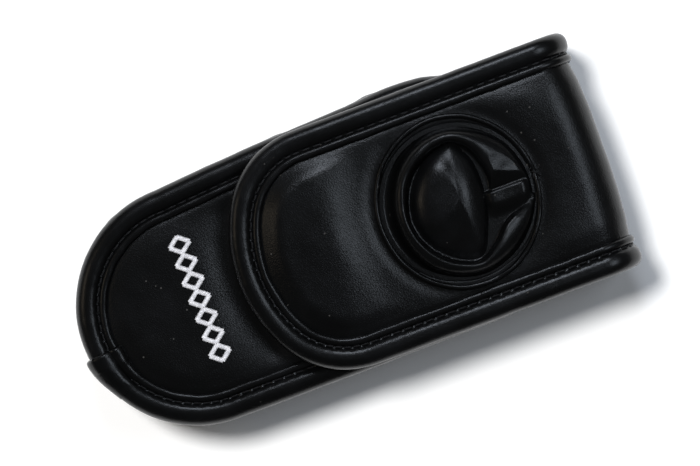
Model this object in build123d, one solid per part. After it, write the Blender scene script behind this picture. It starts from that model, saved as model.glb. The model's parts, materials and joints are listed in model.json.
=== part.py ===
from build123d import *
from math import asin, atan2, cos, degrees, hypot, pi, radians, sin, sqrt
import os

# Padded belt pouch for a pocket skin microscope, lying on its belt loop.
# Z is up through the front face, Y runs towards the fold of the flap, X runs across.
# The origin is below the middle of the pouch, on the plane that it rests on.
# Edge sections are drawn as (outward, height), with outward zero at the outermost line of the edge.

# Overall sizes, in millimetres
pouch_length = 160.0
flap_width = 70.4
flap_length = 111.1
pocket_height = 19.0
belt_gap = 4.8

# Materials as sheets
leather = 1.0
padding = 2.2
lining = 0.6
tape = 0.6
board = 1.0
strap_thickness = 2.0
patch_thickness = 1.0
glue_gap = 0.05
closing_gap = 0.3

# Rounded end of the body, and how far its sides stand out along the length
end_radius = 34.6
end_shift = 1.5
bulge_left = 2.1
bulge_right = 0.3
side_stretches = 3

# Tip of the flap
tip_radius = 45.0
corner_radius = 27.0

# Fold of the flap over the end of the pouch
fold_radius = 9.5
fold_split = 45.0

# Edge tape: a soft roll, a stitched groove and a thin lip
roll_rise = 1.4
tape_core = 2.6
stitch_inset = 6.3
groove_width = 0.7
groove_floor = 0.3
lip_width = 2.0
lip_rise = 0.95
inner_leaf = 6.9
tail_rise = 0.9
tail_angle = 22.0
tail_place = 17.0

# Gusset
gusset_neck = 7.3
gusset_puff = 0.3
mouth_to_bend = 5.1
hem_reach = 6.0
hem_angle = 128.0

# Cut-out of the front panel at the mouth, where the lens ring of the instrument passes
scoop_radius = 60.0
scoop_from_fold = 78.0
rim_core = 1.4
rim_reach = 5.0
rim_gap = 0.4

# Stiffener board
board_inset = 11.0
board_to_bend = 3.1
board_round = 3.0

# Belt loop
loop_width = 38.0
loop_clear_length = 46.0
loop_ramp = 4.0
loop_tab = 7.0
loop_round = 1.4

# Hook and loop closure
loop_patch_width = 38.0
loop_patch_length = 19.0
hook_patch_width = 34.0
hook_patch_length = 15.0
patch_from_tip = 17.5
patch_corner = 2.5

# Lens cup of the flap
cup_from_fold = 43.5
cup_hole_radius = 21.5
cup_padding_hole_radius = 19.0
welt_radius = 23.8
welt_width = 1.5
welt_side = 0.8
wall_leather = 0.8
wall_flange_radius = 22.1
wall_roll_place = 19.3
wall_roll_radius = 2.25
wall_lip_radius = 15.8
wall_crest_rise = 4.5
wall_lip_rise = 1.2
gore_angle = 50.0
gore_ridge = 1.1
crown_radius = 16.9
crown_flat_radius = 27.5
crown_flat_reach = 6.7
crown_dome = 1.8
crown_rise = 4.1
crown_pad_inset = 1.6
crown_pad_rise = 1.1

# Heights of the sheets, from the plane that the pouch rests on
stack = leather + padding + lining
back_skin = strap_thickness + belt_gap
back_inside = back_skin + stack
front_inside = back_inside + pocket_height
front_skin = front_inside + stack
flap_inside = front_skin + 2 * patch_thickness + closing_gap
flap_skin = flap_inside + stack
middle_height = (back_skin + flap_skin) / 2

# Places along and across the pouch
flap_half = flap_width / 2
bend_place = pouch_length / 2 - roll_rise - fold_radius
front_bend_height = flap_skin - fold_radius
hinge_radius = fold_radius + roll_rise
end_place = tail_rise + end_radius - pouch_length / 2
tip_place = pouch_length / 2 - flap_length
mouth_place = bend_place - mouth_to_bend
board_top = bend_place - board_to_bend
scoop_place = pouch_length / 2 - scoop_from_fold
patch_place = tip_place + patch_from_tip
tip_centre = tip_place + tip_radius
corner_across = flap_half - corner_radius
corner_place = tip_centre - sqrt((tip_radius - corner_radius) ** 2 - corner_across**2)
corner_angle = degrees(atan2(corner_across, tip_centre - corner_place))
cup_place = pouch_length / 2 - cup_from_fold
lip_end = stitch_inset + groove_width + lip_width

# Straight facets that stand for the small curves, so that the meshes stay light
roll_facets = 6
slope_facets = 2
lip_facets = 4
cup_facets = 8
dome_facets = 4

far = 2 * pouch_length


def side_knots(side, bulge):
    """Knots of one side of the body's outline, from the rounded end to the mouth, bowed outwards."""
    knots = []
    for step in range(side_stretches + 1):
        share = step / side_stretches
        across = (1 - share) * (end_shift + side * end_radius) + share * side * flap_half
        along = (1 - share) * end_place + share * bend_place
        knots.append((across + side * 4 * bulge * share * (1 - share), along))
    return knots


body_sides = {1: side_knots(1, bulge_right), -1: side_knots(-1, bulge_left)}


def section_plane(x, y, heading):
    """Upright plane at (x, y) whose first direction points outwards at a heading in degrees."""
    across = (cos(radians(heading)), sin(radians(heading)), 0)
    return Plane((x, y, 0), x_dir=across, z_dir=(across[1], -across[0], 0))


def outline_face(points, closing):
    """Flat face inside straight lines through the points and the closing curves."""
    return make_face([*Polyline(*points).edges(), *closing])


def facets(curve, count):
    """Straight lines between evenly spaced points of a curve."""
    return Polyline(*[curve @ (step / count) for step in range(count + 1)]).edges()


def edge_section(skin, under, up):
    """Section of the edge tape round a stack of sheets, with the roll, groove and lip on the skin's side."""
    outer = skin + up * roll_rise
    base = under - up * tape
    roll = abs(outer - base) / 2
    floor = skin + up * groove_floor
    groove = -(stitch_inset + groove_width)
    crest, foot = (-roll, outer), (-roll, base)
    top = TangentArc((-roll, outer), (-stitch_inset, floor), tangent=(-1, 0))
    side = ThreePointArc(crest, (0, (outer + base) / 2), foot)
    lip = ThreePointArc((groove, floor), (groove - lip_width / 2, skin + up * lip_rise), (-lip_end, floor))
    walls = Polyline(
        foot,
        (-inner_leaf, base),
        (-inner_leaf, under),
        (-tape_core, under),
        (-tape_core, skin),
        (-lip_end, skin),
        (-lip_end, floor),
    )
    groove_line = Line((-stitch_inset, floor), (groove, floor))
    curves = [*facets(top, slope_facets), *facets(side, roll_facets), *facets(lip, lip_facets)]
    return make_face([*curves, *walls.edges(), groove_line])


def plain_tape_section(low, high, core, reach):
    """Section of a plain tape folded over an edge."""
    roll = (high - low) / 2 + tape
    middle = (high + low) / 2
    body = Pos(-(roll + reach) / 2, middle) * Rectangle(reach - roll, 2 * roll)
    nose = Pos(-roll, middle) * RegularPolygon(roll, 2 * roll_facets)
    slot = Pos(-(core + 2 * reach) / 2, middle) * Rectangle(2 * reach - core, high - low)
    return body + nose - slot


def body_run(section, top):
    """Carries an edge section round the body's outline, up to a place along the pouch."""
    start = section_plane(*body_sides[1][0], 0) * section
    rounded = revolve(start, axis=Axis((end_shift, end_place, 0), (0, 0, -1)), revolution_arc=180)
    stretches = []
    for side, knots in body_sides.items():
        for (x, y), (next_x, next_y) in zip(knots, knots[1:]):
            face = section_plane(x, y, 0 if side > 0 else 180) * section
            way = (next_x - x, next_y - y, 0)
            stretches.append(extrude(face, amount=hypot(*way), dir=way))
    run = rounded + stretches
    return run - Pos(0, top + far / 2, 0) * Box(far, far, far) if top < bend_place else run


def body_face(inset, top):
    """Flat face of the body, inset from its outline, up to a place along the pouch."""
    right = [(x - inset, y) for x, y in body_sides[1]]
    left = [(x + inset, y) for x, y in body_sides[-1]]
    lowest = (end_shift, end_place - end_radius + inset)
    points = [*right, *reversed(left)]
    face = outline_face(points, [ThreePointArc(points[0], lowest, points[-1])])
    return face - Pos(0, top + far / 2) * Rectangle(far, far) if top < bend_place else face


def flap_face(inset):
    """Flat face of the front of the flap, inset from its outline, up to the bend."""
    side = flap_half - inset
    turn = radians(corner_angle - 90)
    middle_turn = turn / 2
    radius = corner_radius - inset
    corner = (corner_across + radius * cos(turn), corner_place + radius * sin(turn))
    half_way = (corner_across + radius * cos(middle_turn), corner_place + radius * sin(middle_turn))
    right = ThreePointArc((side, corner_place), half_way, corner)
    left = ThreePointArc((-side, corner_place), (-half_way[0], half_way[1]), (-corner[0], corner[1]))
    tip = ThreePointArc(corner, (0, tip_place + inset), (-corner[0], corner[1]))
    points = [(side, corner_place), (side, bend_place), (-side, bend_place), (-side, corner_place)]
    return outline_face(points, [right, tip, left])


def sheet(face, low, high):
    """Sheet of a flat face between two heights."""
    return Pos(0, 0, low) * extrude(face, amount=high - low)


def strip(inset, low, high):
    """Section of the flap straight across, on the plane where its bend begins."""
    face = Pos(0, (low + high) / 2) * Rectangle(2 * (flap_half - inset), high - low)
    return section_plane(0, bend_place, 0) * face


def over_fold(face, start, sweep):
    """Turns a section, which stands where the front bend begins, over the fold."""
    axis = Axis((0, bend_place, front_bend_height), (-1, 0, 0))
    return revolve(face.rotate(axis, start), axis=axis, revolution_arc=sweep)


def end_wall(face):
    """Carries a section from the middle of the front bend down to the middle of the back bend."""
    axis = Axis((0, bend_place, front_bend_height), (-1, 0, 0))
    upright = face.rotate(axis, 90)
    drop = front_bend_height - middle_height
    upper = over_fold(face, fold_split, 90 - fold_split) + extrude(upright, amount=drop, dir=(0, 0, -1))
    return upper + upper.mirror(Plane.XY.offset(middle_height))


def flap_run(section):
    """Carries an edge section round the front of the flap and half of its bend."""
    start = section_plane(flap_half, corner_place, 0) * section
    side = extrude(start, amount=bend_place - corner_place, dir=(0, 1, 0))
    corner_axis = Axis((corner_across, corner_place, 0), (0, 0, -1))
    side += revolve(start, axis=corner_axis, revolution_arc=90 - corner_angle)
    side += over_fold(section_plane(flap_half, bend_place, 0) * section, 0, fold_split)
    turn = corner_angle - 90
    tip_x = tip_radius * cos(radians(turn))
    tip_y = tip_centre + tip_radius * sin(radians(turn))
    tip = revolve(
        section_plane(tip_x, tip_y, turn) * section,
        axis=Axis((0, tip_centre, 0), (0, 0, -1)),
        revolution_arc=2 * corner_angle,
    )
    return side + tip + side.mirror(Plane.YZ)


def back_sheet(inset, inner, outer):
    """Sheet of the back panel that goes on round half of the back bend, at depths below its skin."""
    flat = sheet(body_face(inset, far), back_skin + outer, back_skin + inner)
    bend = over_fold(strip(inset, flap_skin - inner, flap_skin - outer), 0, fold_split)
    return flat + bend.mirror(Plane.XY.offset(middle_height))


def flap_sheet(inset, inner, outer, hole):
    """Sheet of the flap with the hole of the lens cup, at depths below its skin."""
    flat = sheet(flap_face(inset), flap_skin - inner, flap_skin - outer)
    bend = over_fold(strip(inset, flap_skin - inner, flap_skin - outer), 0, fold_split)
    return flat + bend - Pos(0, cup_place, flap_skin) * Cylinder(hole, 2 * stack)


def mouth_cut(rim):
    """Cut-out of the front panel at the mouth, with its rounded lower rim drawn back."""
    scoop = Pos(0, scoop_place + scoop_radius) * Circle(scoop_radius + rim)
    above = Pos(0, scoop_place + scoop_radius + far / 2) * Rectangle(far, far)
    return body_face(lip_end, far) & (scoop + above)


def front_sheet(low, high):
    """Sheet of the front panel, which runs on beside the mouth as two narrow strips."""
    face = body_face(tape_core, mouth_place) - mouth_cut(rim_core)
    return sheet(face, low, high)


def cup_turn(section, start, sweep):
    """Turns a section of the lens cup round its axis, from a heading in degrees."""
    plane = Plane((0, cup_place, 0), x_dir=(1, 0, 0), z_dir=(0, -1, 0))
    turned = (plane * section).rotate(Axis((0, cup_place, 0), (0, 0, 1)), start)
    return revolve(turned, axis=Axis((0, cup_place, 0), (0, 0, 1)), revolution_arc=sweep)


def crown_face(inset):
    """Egg-shaped outline of the cup's crown, blunt towards the tip of the flap."""
    round_side = Pos(0, cup_place) * Circle(crown_radius - inset)
    flat_centre = cup_place + crown_flat_reach - crown_flat_radius
    return round_side & Pos(0, flat_centre) * Circle(crown_flat_radius - inset)


def gusset_section(thickness, inner):
    """Half-round section of the gusset wall, a sheet at a distance inside its outer face."""
    height = front_inside - back_inside - 2 * (leather + tape)
    centre = (gusset_puff - height / 2, (front_inside + back_inside) / 2)
    outer = height / 2 - inner
    sides = 2 * roll_facets
    ring = RegularPolygon(outer, sides) - RegularPolygon(outer - thickness, sides)
    return Pos(*centre) * (ring & Pos(outer / 2, 0) * Rectangle(outer, 2 * outer))


def side_gusset():
    """Gusset with the flanges that are sewn into both edges."""
    section = gusset_section(leather, 0)
    flange_width = gusset_neck + leather - tape_core
    flange_centre = -(gusset_neck + leather + tape_core) / 2
    for middle, up in ((front_inside - leather / 2, 1), (back_inside + leather / 2, -1)):
        section += Pos(flange_centre, middle) * Rectangle(flange_width, leather)
        neck_height = tape + 2 * leather
        neck_middle = middle + up * leather / 2 - up * neck_height / 2
        section += Pos(-gusset_neck - leather / 2, neck_middle) * Rectangle(leather, neck_height)
    return body_run(section, mouth_place)


def gusset_lining():
    """Thin lining glued inside the gusset wall."""
    return body_run(gusset_section(lining, leather + glue_gap), mouth_place)


def gusset_hems():
    """Plain tapes folded over both ends of the gusset and its lining at the mouth, as one shape."""
    wall = leather + lining + 3 * glue_gap
    height = front_inside - back_inside - 2 * (leather + tape)
    centre = Pos(gusset_puff - height / 2, (front_inside + back_inside) / 2)
    sector = centre * Polygon(
        (0, 0),
        (far * cos(radians(hem_angle / 2)), far * sin(radians(hem_angle / 2))),
        (far * cos(radians(hem_angle / 2)), -far * sin(radians(hem_angle / 2))),
        align=None,
    )
    outside = body_run(gusset_section(wall + 2 * tape, -tape - glue_gap) & sector, mouth_place + tape)
    hem = outside - body_run(gusset_section(wall, -glue_gap), mouth_place + glue_gap)
    return hem - Pos(0, mouth_place - hem_reach - far / 2, 0) * Box(far, far, far)


def front_edge_binding():
    """Tape that binds the front panel and the gusset, and runs on to the mouth."""
    return body_run(edge_section(front_skin, front_inside - leather, 1), mouth_place)


def back_edge_binding():
    """Tape that binds the back panel and the gusset, and follows the back panel to its bend."""
    seam = body_run(edge_section(back_skin, back_inside + leather, -1), mouth_place)
    panel = body_run(edge_section(back_skin, back_inside, -1), bend_place)
    panel -= Pos(0, mouth_place - far / 2, 0) * Box(far, far, far)
    section = section_plane(flap_half, bend_place, 0) * edge_section(flap_skin, flap_inside, 1)
    bend = over_fold(section, 0, fold_split).mirror(Plane.XY.offset(middle_height))
    return seam + panel + bend + bend.mirror(Plane.YZ)


def binding_tail():
    """Overlapping end of the front tape, folded over the roll at the rounded end."""
    under = front_inside - leather
    section = edge_section(front_skin, under, 1)
    filled = section + Pos(-(tape_core + lip_end) / 2, (front_skin + under) / 2) * Rectangle(
        lip_end - tape_core, front_skin - under
    )
    roll = (front_skin + roll_rise - under + tape) / 2
    outside = offset(filled, tail_rise, kind=Kind.INTERSECTION)
    cover = outside - offset(filled, glue_gap, kind=Kind.INTERSECTION)
    cover -= Pos(-lip_end - far / 2, front_skin) * Rectangle(far, far)
    cover -= Pos(-roll - far / 2, under - far / 2) * Rectangle(far, far)
    start = section_plane(end_shift + end_radius, end_place, 0) * cover
    axis = Axis((end_shift, end_place, 0), (0, 0, -1))
    return revolve(start.rotate(axis, 90 - tail_place - tail_angle / 2), axis=axis, revolution_arc=tail_angle)


def mouth_rim_binding():
    """Plain tape folded over the rounded rim of the front panel."""
    section = plain_tape_section(front_inside, front_skin, rim_core, rim_reach)
    rim_half = end_radius - lip_end - rim_gap
    half_angle = degrees(asin(rim_half / (scoop_radius + rim_reach)))
    start = section_plane(0, scoop_place, 90) * section
    centre = Axis((0, scoop_place + scoop_radius, 0), (0, 0, 1))
    return revolve(start.rotate(centre, -half_angle), axis=centre, revolution_arc=2 * half_angle)


def back_foam():
    """Padding of the back panel, pressed thinner where the board lies under it."""
    return back_sheet(tape_core, leather + padding, leather) - stiffener_board()


def stiffener_board():
    """Stiffener board glued to the inside of the back leather."""
    face = fillet(body_face(board_inset, board_top).vertices().group_by(Axis.Y)[-1], board_round)
    return sheet(face, back_skin + leather, back_skin + leather + board)


def belt_loop():
    """Strap sewn across the back panel, with ramps up to its two sewn tabs."""
    half = loop_clear_length / 2
    slant = strap_thickness * (hypot(loop_ramp, belt_gap) - loop_ramp) / belt_gap
    low = [(half + slant, 0), (half + slant + loop_ramp, belt_gap)]
    high = [(half, strap_thickness), (half + loop_ramp, back_skin)]
    end = half + loop_ramp + loop_tab
    right = [high[0], high[1], (end, back_skin), (end, belt_gap), low[1], low[0]]
    left = [(-y, z) for y, z in reversed(right)]
    side = make_face(Polyline(*right, *left, close=True))
    inner = [v for v in side.vertices() if abs(v.X) < end - loop_tab / 2]
    side = fillet(inner, loop_round)
    plane = Plane((0, 0, 0), x_dir=(0, 1, 0), z_dir=(1, 0, 0))
    return extrude(plane * side, amount=loop_width / 2, both=True)


def patch(width, length, low):
    """Hook or loop patch with rounded corners."""
    outline = Pos(0, patch_place) * RectangleRounded(width, length, patch_corner)
    return sheet(outline, low, low + patch_thickness)


def cup_welt():
    """Thin raised ring sewn round the lens cup, over the flange of its wall."""
    inner = welt_radius - welt_width
    shoulder = flap_skin + welt_side
    top = ((inner + welt_radius) / 2, shoulder + welt_width / 2)
    sides = Polyline((inner, shoulder), (inner, flap_skin), (welt_radius, flap_skin), (welt_radius, shoulder))
    bead = ThreePointArc((welt_radius, shoulder), top, (inner, shoulder))
    return cup_turn(make_face([*sides.edges(), *facets(bead, lip_facets)]), 0, 360)


def cup_wall():
    """Soft wall of the lens cup, rolled into a thick fold that is open towards the pouch's end."""
    low, high = flap_skin, flap_skin + wall_leather
    lip_low, lip_high = flap_skin + wall_lip_rise - wall_leather, flap_skin + wall_lip_rise
    middle = flap_skin + wall_crest_rise - wall_roll_radius
    start = asin((high - middle) / wall_roll_radius)
    turn = (pi - asin((lip_high - middle) / wall_roll_radius) - start) / cup_facets
    angles = [start + step * turn for step in range(cup_facets + 1)]
    outer, inner = wall_roll_radius, wall_roll_radius - wall_leather
    outside = [(wall_roll_place + outer * cos(a), middle + outer * sin(a)) for a in angles]
    inside = [(wall_roll_place + inner * cos(a), middle + inner * sin(a)) for a in reversed(angles)]
    flange = [(wall_flange_radius, low), (wall_flange_radius, high)]
    lip = [(wall_lip_radius, lip_high), (wall_lip_radius, lip_low), (inside[0][0], lip_low)]
    section = make_face(Polyline(*flange, *outside, *lip, *inside, (inside[-1][0], low), close=True))
    return cup_turn(section, 90 + gore_angle / 2, 360 - gore_angle)


def cup_gore():
    """Folded part of the cup's wall, flattened with a crease along its middle and tucked under the crown."""
    half = wall_lip_radius
    foot, ridge = flap_skin, flap_skin + gore_ridge
    roof = Polyline(
        (-half, foot),
        (0, ridge),
        (half, foot),
        (half, foot + wall_leather),
        (0, ridge + wall_leather),
        (-half, foot + wall_leather),
        close=True,
    )
    sheet_face = Plane((0, cup_place, 0), x_dir=(1, 0, 0), z_dir=(0, -1, 0)) * make_face(roof)
    roof_sheet = extrude(sheet_face, amount=wall_flange_radius, dir=(0, 1, 0))
    block = Pos(wall_flange_radius / 2, flap_skin) * Rectangle(wall_flange_radius, 4 * gore_ridge)
    play = degrees(glue_gap / wall_lip_radius)
    sector = cup_turn(block, 90 - gore_angle / 2 + play, gore_angle - 2 * play)
    throat = Pos(0, cup_place, flap_skin) * Cylinder(wall_lip_radius - closing_gap, 4 * gore_ridge)
    flat_centre = cup_place + crown_flat_reach - crown_flat_radius
    tucked = crown_flat_radius - crown_pad_inset + closing_gap
    return roof_sheet & (sector + throat) - Pos(0, flat_centre, flap_skin) * Cylinder(tucked, 4 * gore_ridge)


def dome(depth):
    """Block under the crown's dome, a depth inside its outer face, down to the flap's skin."""
    radius = (crown_radius**2 + crown_dome**2) / (2 * crown_dome)
    turn = asin((crown_radius + wall_leather) / radius) / dome_facets
    reach = radius - depth
    centre = flap_skin + crown_rise - radius
    angles = [step * turn for step in range(dome_facets + 1)]
    curve = [(reach * sin(a), centre + reach * cos(a)) for a in angles]
    foot = [(curve[-1][0], flap_skin), (0, flap_skin)]
    return cup_turn(make_face(Polyline(*curve, *foot, close=True)), 0, 360)


def crown_cover():
    """Domed leather crown of the lens cup."""
    return (dome(0) - dome(wall_leather)) & sheet(crown_face(0), flap_skin, flap_skin + 2 * crown_rise)


def crown_pad():
    """Padding under the crown, flat below."""
    block = sheet(crown_face(crown_pad_inset), flap_skin + crown_pad_rise, flap_skin + 2 * crown_rise)
    return block & dome(wall_leather + glue_gap)


nodes = {
    "belt_loop": belt_loop(),
    "back_panel_outer": back_sheet(tape_core, leather, 0),
    "back_stiffener_board": stiffener_board(),
    "back_foam": back_foam(),
    "back_lining": back_sheet(tape_core, stack, leather + padding),
    "side_gusset": side_gusset(),
    "gusset_lining": gusset_lining(),
    "front_panel_outer": front_sheet(front_skin - leather, front_skin),
    "front_foam": front_sheet(front_inside + lining, front_skin - leather),
    "front_lining": front_sheet(front_inside, front_inside + lining),
    "front_edge_binding": front_edge_binding(),
    "back_edge_binding": back_edge_binding(),
    "binding_tail": binding_tail(),
    "mouth_rim_binding": mouth_rim_binding(),
    "loop_patch": patch(loop_patch_width, loop_patch_length, front_skin),
    "end_wall_outer": end_wall(strip(tape_core, flap_skin - leather, flap_skin)),
    "end_wall_foam": end_wall(strip(tape_core, flap_inside + lining, flap_skin - leather)),
    "end_wall_lining": end_wall(strip(tape_core, flap_inside, flap_inside + lining)),
    "flap_outer": flap_sheet(tape_core, leather, 0, cup_hole_radius),
    "flap_foam": flap_sheet(tape_core, leather + padding, leather, cup_padding_hole_radius),
    "flap_lining": flap_sheet(tape_core, stack, leather + padding, cup_padding_hole_radius),
    "flap_edge_binding": flap_run(edge_section(flap_skin, flap_inside, 1)),
    "hook_patch": patch(hook_patch_width, hook_patch_length, flap_inside - patch_thickness),
    "cup_welt": cup_welt(),
    "cup_wall": cup_wall(),
    "cup_gore": cup_gore(),
    "cup_crown_cover": crown_cover(),
    "cup_crown_pad": crown_pad(),
}
hems = gusset_hems()
for side, name in ((1, "right"), (-1, "left")):
    place = section_plane(side * flap_half, bend_place, 0 if side > 0 else 180)
    nodes[f"end_wall_binding_{name}"] = end_wall(place * edge_section(flap_skin, flap_inside, 1))
    nodes[f"gusset_hem_{name}"] = hems - Pos(-side * far / 2, 0, 0) * Box(far, far, far)

for name, shape in nodes.items():
    export_step(shape, f"parts/{name}.step")

hinge_reach = bend_place + hinge_radius * cos(radians(fold_split))
hinge_drop = hinge_radius * sin(radians(fold_split))
print("front fold axis", round(hinge_reach, 3), round(front_bend_height + hinge_drop, 3))
print("back fold axis", round(hinge_reach, 3), round(back_skin + fold_radius - hinge_drop, 3))
print("cup", cup_place, "skin", flap_skin, "heights", back_inside, front_inside, flap_inside)
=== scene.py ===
"""Looks of a padded belt pouch in black leatherette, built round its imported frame.

The pouch lies on its belt loop. Its flap folds over the end and carries a round lens cup.
All modelling is done in millimetres and scaled to metres when a piece is finished.
"""

import json
import logging
import math
from dataclasses import dataclass
from enum import Enum
from typing import Callable, Optional, Sequence, Union

import bmesh
import bpy
from mathutils import Matrix, Vector, noise

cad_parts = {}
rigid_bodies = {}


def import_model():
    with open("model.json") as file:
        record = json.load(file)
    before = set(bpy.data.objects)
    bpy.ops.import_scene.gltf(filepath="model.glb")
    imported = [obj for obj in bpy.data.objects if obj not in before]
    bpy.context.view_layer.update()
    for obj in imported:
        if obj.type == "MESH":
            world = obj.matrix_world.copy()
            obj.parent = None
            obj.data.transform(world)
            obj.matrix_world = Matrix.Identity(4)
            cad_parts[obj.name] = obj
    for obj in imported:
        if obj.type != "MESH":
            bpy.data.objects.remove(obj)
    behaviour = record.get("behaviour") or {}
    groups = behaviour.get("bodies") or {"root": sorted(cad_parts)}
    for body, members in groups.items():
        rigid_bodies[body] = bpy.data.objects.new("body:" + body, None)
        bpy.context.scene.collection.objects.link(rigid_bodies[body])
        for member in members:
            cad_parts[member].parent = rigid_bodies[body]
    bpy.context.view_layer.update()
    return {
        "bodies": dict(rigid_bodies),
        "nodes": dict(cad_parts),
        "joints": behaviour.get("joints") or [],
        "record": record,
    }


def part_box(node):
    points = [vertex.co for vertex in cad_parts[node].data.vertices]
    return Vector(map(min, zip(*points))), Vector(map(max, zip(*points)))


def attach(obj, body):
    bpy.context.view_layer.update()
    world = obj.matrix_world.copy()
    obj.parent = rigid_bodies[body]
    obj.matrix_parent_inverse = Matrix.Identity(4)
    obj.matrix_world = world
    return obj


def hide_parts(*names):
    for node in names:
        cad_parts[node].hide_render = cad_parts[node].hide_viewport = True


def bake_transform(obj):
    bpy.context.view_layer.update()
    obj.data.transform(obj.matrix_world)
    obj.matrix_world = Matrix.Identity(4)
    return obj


LOG = logging.getLogger("pouch")
MM = 0.001
FULL_TURN = 2 * math.pi

# The cup is a little wider than long, and sits a little off the middle of its packed ring.
CUP_ACROSS = 1.047
CUP_ALONG = 0.987
CUP_SHIFT = (0.1, -1.3)

# A colour Mix node's sockets share their names with its other kinds, so they go by number.
MIX_FACTOR, MIX_LOW, MIX_HIGH, MIX_RESULT = 0, 6, 7, 2

Point = tuple[float, float]
Colour = tuple[float, float, float]


class Body(Enum):
    """Bodies of the frame that the pieces ride on."""

    POUCH = "pouch"
    FLAP_END = "flap_end"
    FLAP = "flap"
    CROWN = "cup_crown"


class Slot(Enum):
    """Material slots of the record."""

    LEATHER = "leatherette"
    SOFT_LEATHER = "soft_leatherette"
    TAPE = "binding_tape"
    LINING = "lining_cloth"
    FOAM = "foam"
    BOARD = "stiffener_board"
    HOOKS = "hook_tape"
    LOOPS = "loop_pile"


class Side(Enum):
    """Sides of the pouch, with their sign along X."""

    RIGHT = 1
    LEFT = -1


def smooth_step(low: float, high: float, value: float) -> float:
    """Smooth share from 0 at low to 1 at high."""
    share = min(1.0, max(0.0, (value - low) / (high - low)))
    return share * share * (3 - 2 * share)


def mix(a: float, b: float, share: float) -> float:
    """Value between a and b."""
    return a + (b - a) * share


def bell(value: float, centre: float, width: float) -> float:
    """Bell curve of height 1 about a centre."""
    return math.exp(-(((value - centre) / width) ** 2))


def ripple(x: float, y: float, size: float, seed: float) -> float:
    """Smooth noise between -1 and 1 with features of about a size."""
    return noise.noise(Vector((x / size + seed, y / size - seed, seed * 0.37)))


def spline(knots: Sequence[tuple[float, ...]], place: float) -> tuple[float, ...]:
    """Smooth values through knots.

    Args:
        knots: tuples that each start with their place, in rising order.
        place: where the values are wanted.

    Returns:
        The values at the place, which itself comes first.
    """
    last = len(knots) - 1
    index = 0
    while index < last - 1 and knots[index + 1][0] < place:
        index += 1
    a, b, c, d = (knots[min(last, max(0, index + step))] for step in (-1, 0, 1, 2))
    t = min(1.0, max(0.0, (place - b[0]) / (c[0] - b[0])))
    return tuple(
        0.5 * (2 * q + (r - p) * t + (2 * p - 5 * q + 4 * r - v) * t**2 + (3 * q - p - 3 * r + v) * t**3)
        for p, q, r, v in zip(a, b, c, d)
    )


class Socket:
    """One output of a shader node, on which Python's operators add Math nodes."""

    def __init__(self, graph: "Graph", output: bpy.types.NodeSocket) -> None:
        """Wraps an output of a graph."""
        self.graph = graph
        self.output = output

    def math(self, operation: str, *values: "float | Socket") -> "Socket":
        """Adds a Math node.

        Args:
            operation: Blender's name of the operation.
            values: inputs of the node, in order.

        Returns:
            The node's value.
        """
        inputs = dict(enumerate(values))
        return self.graph.node("ShaderNodeMath", {"operation": operation}, inputs)

    def __add__(self, other: "float | Socket") -> "Socket":
        """Sum."""
        return self.math("ADD", self, other)

    def __radd__(self, other: float) -> "Socket":
        """Sum with a number on the left."""
        return self.math("ADD", other, self)

    def __mul__(self, other: "float | Socket") -> "Socket":
        """Product."""
        return self.math("MULTIPLY", self, other)

    def __rmul__(self, other: float) -> "Socket":
        """Product with a number on the left."""
        return self.math("MULTIPLY", other, self)

    def __gt__(self, other: "float | Socket") -> "Socket":
        """1 where the value is above another, else 0."""
        return self.math("GREATER_THAN", self, other)

    def between(self, low: float, high: float) -> "Socket":
        """Share of the way from low to high, kept from 0 to 1."""
        settings = {"interpolation_type": "SMOOTHSTEP"}
        inputs = {"Value": self, "From Min": low, "From Max": high}
        return self.graph.node("ShaderNodeMapRange", settings, inputs)


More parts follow.
